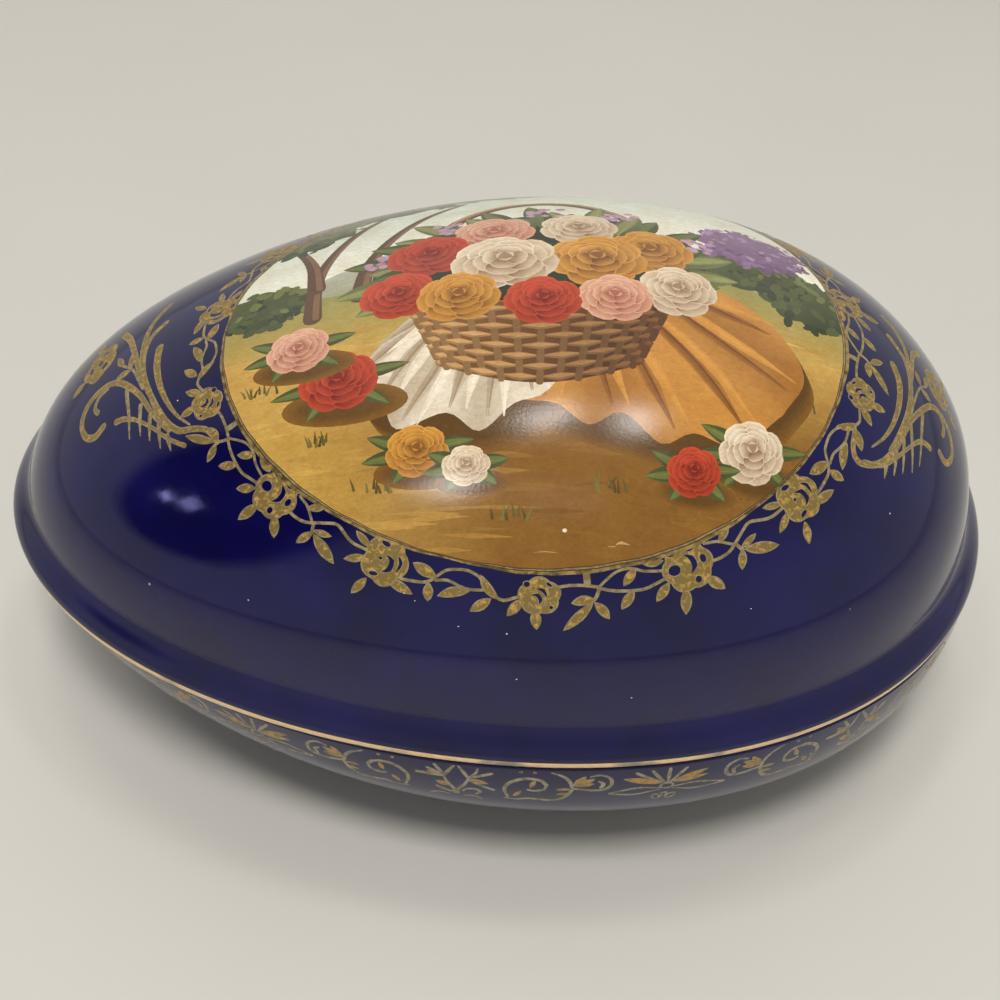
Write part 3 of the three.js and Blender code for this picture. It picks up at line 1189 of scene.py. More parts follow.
    def leaf(self, base, tip, width, shadow, light):
        """A leaf with one half in the light, and its midrib."""
        base, tip = np.asarray(base, float), np.asarray(tip, float)
        axis = tip - base
        side = np.array([-axis[1], axis[0]]) / np.linalg.norm(axis)
        outline = leaf_outline(base, tip, width)
        self.shaded(outline, shadow, mixed(shadow, light, 0.45), base, tip)
        lit = leaf_outline(base + side * width * 0.16, tip, width * 0.5)
        self.shaded(lit, mixed(shadow, light, 0.55), light, base, tip)
        self.stroke([base, base + axis * 0.85], [0.25, 0.1], light * 1.1)

    def foliage(self, centre, reach_x, reach_y, count, colours, size=2.2):
        """A crown of leaves: a soft dark mass, then dabs from dark to light."""
        spread = lobed(centre, reach_x * 0.92, reach_y * 0.92, 9, 0.1, self.random.uniform(0, 90))
        low = (centre[0] + reach_x * 0.3, centre[1] - reach_y)
        high = (centre[0] - reach_x * 0.3, centre[1] + reach_y)
        self.shaded(spread, colours[0] * 1.15, mixed(colours[0], colours[-1], 0.5), low, high)
        for index in range(count):
            angle = self.random.uniform(0, TAU)
            out = math.sqrt(self.random.uniform(0.02, 1.15))
            place = (
                centre[0] + reach_x * out * math.cos(angle),
                centre[1] + reach_y * out * math.sin(angle),
            )
            lift = 0.5 + 0.5 * (place[1] - centre[1]) / reach_y
            level = min(max(index / count * 0.6 + 0.4 * lift, 0), 0.999)
            colour = colours[int(level * len(colours))]
            length = size * self.random.uniform(0.5, 1.2)
            self.dab(place, length, length * 0.6, self.random.uniform(0, 180), colour)


# Paint colours
SKY_HIGH = tone(214, 232, 218)
SKY_LOW = tone(252, 250, 232)
HAZE = tone(184, 190, 186)
LILAC = (tone(112, 84, 120), tone(140, 110, 150), tone(172, 144, 180))
LEAVES = (tone(50, 60, 34), tone(80, 92, 48), tone(114, 124, 66), tone(150, 156, 96))
BARK = tone(112, 84, 60)
MEADOW_FAR = tone(150, 152, 84)
MEADOW = tone(208, 170, 88)
MEADOW_NEAR = tone(138, 98, 38)
OCHRE_DARK, OCHRE_LIGHT = tone(112, 62, 18), tone(232, 172, 74)
CREAM_DARK, CREAM_LIGHT = tone(142, 106, 70), tone(250, 236, 208)
RED_DARK, RED = tone(104, 24, 14), tone(214, 84, 52)
PINK_DARK, PINK = tone(156, 82, 62), tone(244, 196, 166)
WICKER_DARK, WICKER, WICKER_LIGHT = tone(62, 36, 18), tone(138, 92, 48), tone(206, 162, 104)
CLOTH_DARK, CLOTH_LIGHT = tone(116, 66, 22), tone(218, 158, 74)
LINEN_DARK, LINEN_LIGHT = tone(158, 136, 104), tone(248, 240, 220)
BARE = tone(246, 240, 224)


def ground_tone(places):
    """The meadow's colour: gold far off and at the left, brown near and at the right."""
    nearness = np.clip((-8 - places[:, 1]) / 15, 0, 1)
    return mixed(MEADOW, MEADOW_NEAR, nearness * np.clip((places[:, 0] + 34) / 30, 0.15, 1))


def paint_land(art, reach):
    """Sky, hills, trees, a lilac bush and the meadow."""
    art.shaded(reach, SKY_LOW, SKY_HIGH, (0, 4), (-6, 40))
    for middle, width, lift in ((-8, 60, 12), (22, 46, 10), (2, 80, 7.5)):
        x = np.linspace(-1, 1, 17)
        top = np.stack([middle + width / 2 * x, 2 + lift * np.cos(x * math.pi / 2)], -1)
        hill = np.vstack([top, [(middle + width / 2, -2), (middle - width / 2, -2)]])
        base = mixed(HAZE, MEADOW_FAR, 0.55)
        art.shaded(hill, base, mixed(HAZE, SKY_LOW, 0.25), (middle, 3), (middle, 3 + lift))
    x = np.linspace(-1, 1, 25)
    top = np.stack([42 * x, 4.5 + 1.2 * np.sin(5 * x) - 3 * x**2], -1)
    field = np.vstack([top, [(42, -44), (-42, -44)]])
    art.shaded(field, MEADOW_FAR, MEADOW, (0, 4), (0, -12))
    low = np.stack([42 * x, -9 - 2.0 * np.sin(3 * x + 1)], -1)
    art.add(np.vstack([low, [(42, -44), (-42, -44)]]), ground_tone)
    art.foliage((-36, 4), 7, 5, 60, LEAVES[:3])
    for trunk in (
        [(-28.5, -1), (-28.8, 7), (-27.5, 15), (-24.5, 24), (-20, 33)],
        [(-22.5, 2), (-22, 9), (-20, 16), (-16, 24), (-11, 31)],
        [(-28.6, 6), (-30, 13), (-33, 20), (-37, 26)],
    ):
        art.stroke(trunk, [2.6, 1.7, 1.3, 0.8], BARK * 0.75)
        lit = [(x + 0.45, y) for x, y in trunk]
        art.stroke(lit, [0.9, 0.6, 0.3], BARK * 1.5)
    art.foliage((-33, 27), 8, 8, 90, LEAVES)
    art.foliage((-22, 35), 12, 6, 110, LEAVES)
    art.foliage((-8, 38), 9, 4, 60, LEAVES[1:])
    art.foliage((36, 4), 8, 6, 70, LEAVES[:3])
    art.foliage((27, 8), 10, 5, 80, LEAVES[:3])
    art.foliage((29, 15), 8.5, 6, 150, LILAC, 1.5)


def paint_ground(art):
    """Soft strokes of brown, green and gold over the near meadow, and small sprigs."""
    tints = (0.8, 1.1, 0.88, 1.16, 0.94)
    for index in range(150):
        x = art.random.uniform(-38, 34)
        y = art.random.uniform(-42, -4)
        here = ground_tone(np.array([[x, y]]))[0]
        length = art.random.uniform(4, 11)
        rise = art.random.uniform(-0.7, 0.7)
        width = art.random.uniform(0.5, 1.2)
        path = [(x, y), (x + length / 2, y + 0.6 * rise), (x + length, y + rise)]
        art.stroke(path, [0.15, width, 0.1], here * tints[index % len(tints)])
    for x, y in ((-27, -24), (-20, -32), (-3, -36.5), (9, -32), (25, -31), (34, -16), (-35, -14)):
        for index in range(9):
            root = np.array([x + art.random.uniform(-2.6, 2.6), y + art.random.uniform(-0.4, 0.4)])
            lean = art.random.uniform(-0.9, 0.9)
            blade = [root, root + [lean * 0.4, 0.9], root + [lean, art.random.uniform(1.4, 2.2)]]
            art.stroke(blade, [0.4, 0.28, 0.08], mixed(LEAVES[index % 3], MEADOW_NEAR, 0.35))
    # Three small places where the paint is rubbed off
    art.plain(oval((3.9, -38.0), 0.3, 0.3, 0, 8), BARE)
    rubbed = tone(198, 168, 116)
    art.stroke([(10.6, -39.5), (11.2, -39.2), (12.3, -39.4)], [0.12, 0.42, 0.1], rubbed, 0.4)
    art.stroke([(9.6, -39.9), (10.4, -39.8)], [0.1, 0.2], rubbed * 0.8)
    art.stroke([(0.2, -41.3), (1.6, -41.1), (3.4, -41.2)], [0.05, 0.16, 0.05], rubbed * 0.8)


def paint_cloths(art):
    """A golden cloth and white linen that fall from under the basket."""
    for outline in (
        [(30, -19), (34, -11), (29, -3), (19, 2), (6, 2), (-4, -6), (-4, -18), (6, -23), (19, -25)],
        [(-2, 0), (3, -10), (1, -19), (-7, -24), (-17, -23), (-22, -17), (-18, -7), (-11, 0)],
    ):
        for drop, depth in ((3.2, 0.9), (2.7, 0.78), (2.2, 0.66), (1.7, 0.56), (1.2, 0.46)):
            shifted = [(x + 0.5 * drop, y - drop) for x, y in outline]
            art.plain(smooth_path(shifted + shifted[:1], 1.5)[:-1], MEADOW_NEAR * depth)
    gold = [(31, -18), (34, -11), (29, -3), (19, 3), (6, 3), (-4, -6), (-4, -18), (2, -20)]
    gold += [(6, -23), (10, -21), (15, -25), (19, -23), (25, -24)]
    art.draped(smooth_path(gold + gold[:1], 1.0)[:-1], (4, 6), 11, CLOTH_DARK, CLOTH_LIGHT)
    linen = [(-2, 0), (4, -10), (1, -18), (-3, -20), (-7, -24), (-11, -21), (-17, -23), (-19, -18)]
    linen += [(-23, -16), (-18, -7), (-11, 0)]
    art.draped(smooth_path(linen + linen[:1], 1.0)[:-1], (-4, 5), 13, LINEN_DARK, LINEN_LIGHT)


def paint_basket(art):
    """A wicker basket with a handle."""
    centre_x, top_y, bottom_y = 0.0, -0.5, -13.5
    half_top, half_bottom = 17.0, 12.0

    def side_at(share):
        return half_top + (half_bottom - half_top) * share

    def weave_y(share, left):
        sag = 2.4 * (0.4 + share) * math.cos(left * math.pi / 2)
        return top_y + (bottom_y - top_y) * share - sag

    across = np.linspace(-1, 1, 15)
    lower = [(centre_x + half_bottom * s, weave_y(1.0, s)) for s in across]
    upper = [(centre_x + half_top * s, weave_y(0.0, s)) for s in across[::-1]]
    art.shaded(np.array(lower + upper), WICKER, WICKER_DARK, (-14, 0), (14, -12))
    rows, stakes = 9, 15
    for row in range(rows):
        share = (row + 0.5) / rows
        for index in range(stakes):
            turns = [-1 + 2 * (index + step) / stakes for step in (-0.25, 0.5, 1.25)]
            ends = [math.sin(turn * 1.45) for turn in turns]
            light = mixed(WICKER_LIGHT, WICKER * 0.8, 0.35 + 0.65 * ends[1])
            if (index + row) % 2:
                stake = [
                    (centre_x + side_at(share + step) * ends[1], weave_y(share + step, ends[1]))
                    for step in (-0.05, 0.05)
                ]
                art.stroke(stake, [0.9], mixed(WICKER_DARK, light, 0.4), 0.9)
                continue
            path = [(centre_x + side_at(share) * s, weave_y(share, s)) for s in ends]
            art.stroke(path, [0.5, 1.35, 0.5], mixed(WICKER_DARK, light, 0.55), 0.9)
            art.stroke([(x, y + 0.12) for x, y in path], [0.2, 0.75, 0.2], light, 0.9)
    rim_canes = ((0.0, 2.0, WICKER_DARK), (0.35, 1.3, WICKER), (0.6, 0.5, WICKER_LIGHT))
    for drop, width, colour in rim_canes:
        rim = [(centre_x + half_top * 1.05 * s, weave_y(0, s) + drop) for s in across]
        art.stroke(rim, [width], colour)
    handle_canes = ((0, 1.7, WICKER_DARK), (0.2, 1.0, WICKER), (0.5, 0.4, WICKER_LIGHT))
    for reach, width, colour in handle_canes:
        arch = [
            (centre_x + (16 + reach) * math.cos(a), 1 + (26 + reach) * math.sin(a))
            for a in np.linspace(0.05, math.pi - 0.05, 15)
        ]
        art.stroke(arch, [width], colour)


def paint_flowers(art):
    """The heap of flowers in the basket, and some that fell out of it."""
    heap = [(-19, -1), (-21, 7), (-15, 15), (-4, 20), (7, 20), (16, 14), (21, 6), (18, -2)]
    art.plain(smooth_path(heap + heap[:1], 1.5)[:-1], LEAVES[0] * 0.8)
    for index in range(30):
        angle = math.radians(-16 + 212 * index / 29)
        base = (15 * math.cos(angle), 5 + 10 * math.sin(angle))
        far = 1 + 0.16 * math.sin(index * 2.4)
        tip = (23 * far * math.cos(angle + 0.12), 5 + 18 * far * math.sin(angle + 0.12))
        art.leaf(base, tip, 3.6, LEAVES[index % 2], LEAVES[2 + index % 2])
    for x, y in ((11, 20.5), (1, 22), (-11.5, 18), (-20, 10), (20.5, 12.5)):
        for _ in range(14):
            place = (x + art.random.uniform(-2.4, 2.4), y + art.random.uniform(-1.8, 1.8))
            art.dab(place, 1.3, 1.1, 0, LILAC[2] * 1.2, 0.2)
            art.dab(place, 0.4, 0.4, 0, OCHRE_LIGHT)
    roses = (
        (14, 9.5, 5.8, OCHRE_DARK, OCHRE_LIGHT),
        (5, 15.5, 5.2, CREAM_DARK, CREAM_LIGHT),
        (-6, 15, 5.4, PINK_DARK, PINK),
        (-14, 10, 5.6, RED_DARK, RED),
        (17, 0.5, 5.2, CREAM_DARK, CREAM_LIGHT * 0.96),
        (-17.5, 1, 5.0, RED_DARK, RED * 1.05),
        (7, 6.5, 6.4, OCHRE_DARK, OCHRE_LIGHT * 1.05),
        (-4.5, 6.5, 6.8, CREAM_DARK, CREAM_LIGHT),
        (9, -1.8, 4.7, PINK_DARK, PINK),
        (-10, -0.8, 5.2, OCHRE_DARK, OCHRE_LIGHT),
        (0.2, -2.4, 4.8, RED_DARK, RED),
    )
    for index, (x, y, size, shadow, light) in enumerate(roses):
        art.bloom((x, y), size, shadow, light, 50 * index)
    for x, y, size, shadow, light in (
        (-24.5, -14, 5.2, RED_DARK, RED),
        (-30, -7, 4.4, PINK_DARK, PINK),
        (-14.5, -26.5, 4.0, OCHRE_DARK, OCHRE_LIGHT),
        (-8.5, -29, 3.0, CREAM_DARK, CREAM_LIGHT),
        (27, -24.5, 4.6, CREAM_DARK, CREAM_LIGHT),
        (19.5, -28.5, 3.6, RED_DARK, RED),
    ):
        for grow, depth in ((1.3, 0.9), (1.18, 0.8), (1.06, 0.7), (0.94, 0.61), (0.82, 0.53)):
            shade = oval((x + 0.8, y - size * 0.8), size * 1.2 * grow, size * 0.5 * grow, 0, 28)
            art.plain(shade, MEADOW_NEAR * depth)
        for heading in (195, 245, 315, 15, 150):
            angle = math.radians(heading)
            tip = (x + size * 1.8 * math.cos(angle), y + size * 1.3 * math.sin(angle))
            art.leaf((x, y), tip, 2.3, LEAVES[0], LEAVES[2])
        art.bloom((x, y), size, shadow, light, x * 11)


def paint_picture():
    """Every shape of the oval picture with its paint, in the order they are painted."""
    art = Painting(7)
    paint_land(art, oval((0, 0), 46, 48, 0, 24))
    paint_ground(art)
    paint_cloths(art)
    paint_basket(art)
    paint_flowers(art)
    return art


# Materials


class Look:
    """A glossy material whose nodes read the piece's own object coordinates."""

    def __init__(self, name, roughness, metallic=0.0, coat=0.0):
        self.material = bpy.data.materials.new(name)
        self.material.use_nodes = True
        self.nodes = self.material.node_tree.nodes
        self.link = self.material.node_tree.links.new
        self.surface = self.nodes["Principled BSDF"]
        self.surface.inputs["Roughness"].default_value = roughness
        self.surface.inputs["Metallic"].default_value = metallic
        self.surface.inputs["Coat Weight"].default_value = coat
        self.surface.inputs["Coat Roughness"].default_value = 0.04
        self.place = self.nodes.new("ShaderNodeTexCoord").outputs["Object"]

    def noise(self, size_mm, detail=3.0, distortion=0.0, stretch=None):
        """Noise whose spots are about size_mm across."""
        node = self.nodes.new("ShaderNodeTexNoise")
        node.inputs["Scale"].default_value = 1 / (size_mm * MM)
        node.inputs["Detail"].default_value = detail
        node.inputs["Distortion"].default_value = distortion
        place = self.place
        if stretch:
            mapping = self.nodes.new("ShaderNodeMapping")
            mapping.inputs["Scale"].default_value = stretch
            self.link(place, mapping.inputs["Vector"])
            place = mapping.outputs["Vector"]
        self.link(place, node.inputs["Vector"])
        return node.outputs["Fac"]

    def range(self, value, low, high, to_low, to_high):
        node = self.nodes.new("ShaderNodeMapRange")
        for socket, number in zip(
            ("From Min", "From Max", "To Min", "To Max"), (low, high, to_low, to_high)
        ):
            node.inputs[socket].default_value = number
        self.link(value, node.inputs["Value"])
        return node.outputs["Result"]

    def mix(self, share, first, second, way="MIX"):
        """Two colours mixed. Each may be a plain colour or a socket."""
        node = self.nodes.new("ShaderNodeMix")
        node.data_type = "RGBA"
        node.blend_type = way
        # The node has sockets for every kind of data. These are its share and its two colours
        for index, value in ((0, share), (6, first), (7, second)):
            self.fill(node.inputs[index], value)
        return node.outputs[2]

    def fill(self, socket, value):
        """Gives a socket a link, a colour or a number."""
        if isinstance(value, bpy.types.NodeSocket):
            self.link(value, socket)
        elif socket.type == "RGBA":
            socket.default_value = (*[float(part) for part in value], 1.0)
        else:
            socket.default_value = value

    def colour(self, value):
        self.fill(self.surface.inputs["Base Color"], value)

    def bump(self, height, depth_mm, strength=1.0):
        node = self.nodes.new("ShaderNodeBump")
        node.inputs["Strength"].default_value = strength
        node.inputs["Distance"].default_value = depth_mm * MM
        self.link(height, node.inputs["Height"])
        self.link(node.outputs["Normal"], self.surface.inputs["Normal"])


# Deep cobalt, and the same where the glaze ran thinner
COBALT_DEEP = tone(8, 6, 54)
COBALT = tone(14, 11, 70)
SPECK = tone(150, 150, 168)


def cobalt_glaze():
    look = Look("cobalt glaze", 0.09)
    depth = look.mix(look.range(look.noise(14), 0.35, 0.65, 0, 1), COBALT_DEEP, COBALT)
    cells = look.nodes.new("ShaderNodeTexVoronoi")
    cells.inputs["Scale"].default_value = 1 / (9 * MM)
    look.link(look.place, cells.inputs["Vector"])
    near = look.range(cells.outputs["Distance"], 0.018, 0.03, 1, 0)
    look.colour(look.mix(near, depth, SPECK))
    look.link(
        look.range(look.noise(6), 0.3, 0.7, 0.06, 0.12), look.surface.inputs["Roughness"]
    )
    look.bump(look.noise(2.2, 2), 0.01)
    return look.material


def gilding(name, light, dark, roughness, spot, first=0.38, last=0.62):
    """Fired gold, mottled and slightly rubbed. The light tone starts where noise passes first."""
    look = Look(name, roughness, 0.6)
    patches = look.range(look.noise(spot, 3, 0.6), first, last, 0, 1)
    look.colour(look.mix(patches, dark, light))
    look.link(look.range(look.noise(spot, 2), 0.3, 0.7, roughness - 0.08, roughness + 0.12),
              look.surface.inputs["Roughness"])
    look.bump(look.noise(0.35, 2), 0.02)
    return look.material


def rim_gilding():
    """The gilt edge, worn to a dull line where it is handled."""
    look = Look("worn gilt edge", 0.35, 0.25)
    gold = look.mix(look.noise(1.2), tone(232, 192, 134), tone(255, 226, 178))
    worn = look.range(look.noise(11, 4), 0.54, 0.64, 0, 1)
    look.colour(look.mix(worn, gold, tone(150, 138, 126)))
    look.bump(look.noise(0.6, 2), 0.02)
    return look.material


def painted_picture():
    look = Look("painted picture", 0.17)
    paint = look.nodes.new("ShaderNodeAttribute")
    paint.attribute_name = "paint"
    brush = look.noise(0.9, 4, 1.0, (1.0, 1.8, 1.0))
    broad = look.noise(5, 3, 0.5)
    light = look.mix(look.range(brush, 0.3, 0.7, 0, 1), tone(234, 228, 222), tone(255, 255, 255))
    soft = look.mix(look.range(broad, 0.3, 0.7, 0, 1), tone(242, 234, 224), tone(255, 255, 255))
    shaded = look.mix(1.0, paint.outputs["Color"], light, "MULTIPLY")
    look.colour(look.mix(1.0, shaded, soft, "MULTIPLY"))
    look.bump(look.noise(0.45, 3), 0.012)
    return look.material


def plain_ceramic(name, colour, shade, roughness):
    look = Look(name, roughness)
    look.colour(look.mix(look.noise(9), colour, shade))
    look.bump(look.noise(1.5, 3), 0.015)
    return look.material


def make_materials():
    """The finishes in the order of the slots."""
    return [
        cobalt_glaze(),
        gilding("gilt line", tone(186, 168, 122), tone(146, 128, 88), 0.36, 1.0),
        gilding("gilt fill", tone(222, 176, 92), tone(148, 126, 72), 0.42, 0.7, 0.5, 0.66),
        painted_picture(),
        plain_ceramic("dark border line", tone(44, 30, 16), tone(70, 46, 24), 0.3),
        rim_gilding(),
        plain_ceramic("white glaze", tone(238, 238, 234), tone(228, 228, 226), 0.12),
        plain_ceramic("bare biscuit", tone(226, 220, 208), tone(208, 200, 186), 0.75),
        gilding("border gilt", tone(190, 160, 98), tone(112, 92, 52), 0.3, 1.4),
        gilding("band line", tone(172, 164, 140), tone(122, 116, 98), 0.5, 1.2),
        gilding("band fill", tone(198, 154, 80), tone(146, 122, 84), 0.5, 1.0),
    ]


# The two shells


def garland_drawing(ruler, gold):
    """Garland and end panels, on the dome's flat plan."""
    run = []
    link_after_pointed_rose(run)
    link_after_square_rose(run)
    link_after_round_rose(run)
    square_rose(run)
    round_rose(run)
    pointed_rose(run)
    runs, run_length, start = 5, 60.0, -60.0
    drawing = []
    blunt_end_panel(drawing)
    narrow_end_panel(drawing)
    # Behind the picture the runs are closed up a little, so that they meet
    close_up_from = 80.0
    flat_rest = runs * run_length + start - close_up_from
    real_rest = ruler.length + start - close_up_from
    for points, finish in repeat_drawing(run, runs, run_length, gold):
        points = points + [start, 0]
        past = points[:, 0] > close_up_from
        points[past, 0] = close_up_from + (points[past, 0] - close_up_from) * real_rest / flat_rest
        drawing.append((points, finish))
    return [(ruler.place(points), finish) for points, finish in drawing]


def border_drawing(ruler):
    """The worn gilt line round the picture: gold, a dark line, gold, and the picture's ground."""
    along = np.arange(0, ruler.length, 0.8)
    shake = 0.05 * np.sin(along * 0.9) + 0.04 * np.sin(along * 0.37 + 1)
    waves = 5 * TAU / ruler.length
    swell = 0.26 * np.sin((along - 1) * waves) + 0.1 * np.sin(along * 0.31)
    rings = []
    for out, share, finish in (
        (0.72, 1.0, BORDER_GILT),
        (0.3, 0.5, DARK_LINE),
        (0.18, 0.4, GILT_LINE),
        (0.02, 0.0, DARK_LINE),
        (-0.1, 0.0, PICTURE),
    ):
        drawn = ruler.place(np.stack([along, out + share * swell + shake], -1))
        rings.append((drawn, finish))
    return rings


# Tiny bare spots in the glaze, in millimetres along the border and out from it
GLAZE_SPECKS = (
    (-8.6, 9.3, 0.1),
    (-2.6, 9.4, 0.12),
    (-16.2, 6.6, 0.09),
    (-14.6, 7.2, 0.08),
    (-1.0, 16.5, 0.11),
    (11.9, 21.0, 0.1),
    (27.0, 12.5, 0.08),
    (-62.0, 8.4, 0.13),
    (49.0, 16.0, 0.1),
    (-34.0, 18.0, 0.09),
)


def speck_drawing(ruler):
    drawing = []
    for along, out, size in GLAZE_SPECKS:
        drawing.append((ruler.place(oval((along, out), size, size * 0.8, 0, 7)), WHITE_GLAZE))
    return drawing


# How far up the roll the gilt edge reaches, how far in under it, and its rounding below
GILT_TOP_Z = SEAT_Z + 1.6
GILT_UNDER_LIP = 2.2
LIP_EDGE_ROUNDING = 0.25


def make_lid(materials):
    """The lid: a dome with its drawing, a cove, a rounded gilt lip, and a white inside."""
    ruler = GarlandRuler()
    drawing = garland_drawing(ruler, materials[GILT_LINE]) + speck_drawing(ruler)
    drawing += border_drawing(ruler)
    picture = len(drawing) - 1
    art = paint_picture()
    middle = np.array(ruler.CENTRE)
    shapes = [points for points, _ in drawing] + [outline + middle for outline in art.shapes]
    angle = np.arange(SIDES) * TAU / SIDES
    outline = np.stack([PLAN_U * np.cos(angle), PLAN_V * np.sin(angle)], -1)
    near_rim = [outline * (1 - RIM_RING_SHARE * step) for step in range(1, RIM_RINGS + 1)]
    coarse = grid_points(PLAN_U * DOME_GRID_SHARE, PLAN_V * DOME_GRID_SHARE, GRID)
    away = np.hypot(*((coarse - middle) / [ruler.HALF_U, ruler.HALF_V]).T)
    fine = grid_points(ruler.HALF_U, ruler.HALF_V, PICTURE_GRID) + middle

    def top_of(owners):
        if picture in owners:
            return max(owners)
        return max((owner for owner in owners if owner < picture), default=-1)

    grid = np.vstack([*near_rim, coarse[away > 1], fine])
    flat, triangles, tops, ring, _ = cut(outline, None, grid, shapes, top_of)
    shell = Shell()
    normals = slope_normal(lambda u, v: lid_surface(np.stack([u, v], -1)), flat[:, 0], flat[:, 1])
    shell.add_points(lid_surface(flat), normals)
    from_middle = flat - middle
    for index, (triangle, top) in enumerate(zip(triangles, tops)):
        shell.faces.append(tuple(triangle))
        if top > picture:
            shell.finishes.append(PICTURE)
            shell.tints[index] = art.paints[top - picture - 1](from_middle[triangle])
        else:
            shell.finishes.append(drawing[top][1] if top >= 0 else GLAZE)
    cove = np.linspace(SKIRT_TOP_Z, GILT_TOP_Z, COVE_STEPS + 1)[1:]
    gilt = np.linspace(GILT_TOP_Z, SEAT_Z + LIP_EDGE_ROUNDING, 4)[1:]
    outside = [(1, cove_inset(z), z, GLAZE) for z in cove]
    outside += [(1, cove_inset(z), z, RIM_GILT) for z in gilt]
    edge = EDGE_ROUNDING
    inset = LID_INNER_INSET - edge
    outside += [
        (1, NOSE_TUCK + 0.02, SEAT_Z + 0.08, RIM_GILT),
        (1, NOSE_TUCK + 0.2, SEAT_Z, RIM_GILT),
        (1, GILT_UNDER_LIP, SEAT_Z, RIM_GILT),
        (1, inset, SEAT_Z, BISCUIT),
        (1, inset + edge * 0.7, SEAT_Z + edge * 0.3, WHITE_GLAZE),
        (1, LID_INNER_INSET, SEAT_Z + edge, WHITE_GLAZE),
    ]
    ring = shell.add_rings(ring, outside, angle)
    inner_rise = DOME_HEIGHT - LID_WALL
    inside = []
    for step in range(INNER_DOME_STEPS, 0, -1):
        share = math.sin(step / INNER_DOME_STEPS * math.pi / 2)
        rise = inner_rise * dome_swell(share * np.cos(angle)) * math.sqrt(1 - share**2)
        inside.append((share, LID_INNER_INSET, SKIRT_TOP_Z + rise, WHITE_GLAZE))
    ring = shell.add_rings(ring, inside, angle)
    shell.close(ring, (0, 0, SKIRT_TOP_Z + inner_rise), WHITE_GLAZE)
    return shell.build("egg_lid", materials)


# How far the band is moved up towards the rim from where it is drawn, and how far down the
# flat plan that it is cut into reaches
BAND_LIFT = 0.6
BAND_DEPTH = 14.0


def band_drawing(ruler, gold):
    """The band, as many runs as go round the rim."""
    run = []
    band_run(run)
    runs = 7
    run_length = 64.0
    centre_of_star = -4.8
    drawing = []
    for points, finish in repeat_drawing(run, runs, run_length, gold):
        along = points[:, 0] * ruler.length / (runs * run_length) + centre_of_star
        drawing.append((ruler.place(np.stack([along, points[:, 1] - BAND_LIFT], -1)), finish))
    return drawing


def inner_bowl_inset(z):
    below = np.clip((BOWL_TOP_Z - z) / GALLERY_FADE, 0, 1)
    blend = below**2 * (3 - 2 * below)
    return GALLERY_INNER_INSET + (BASE_WALL - GALLERY_INNER_INSET) * blend


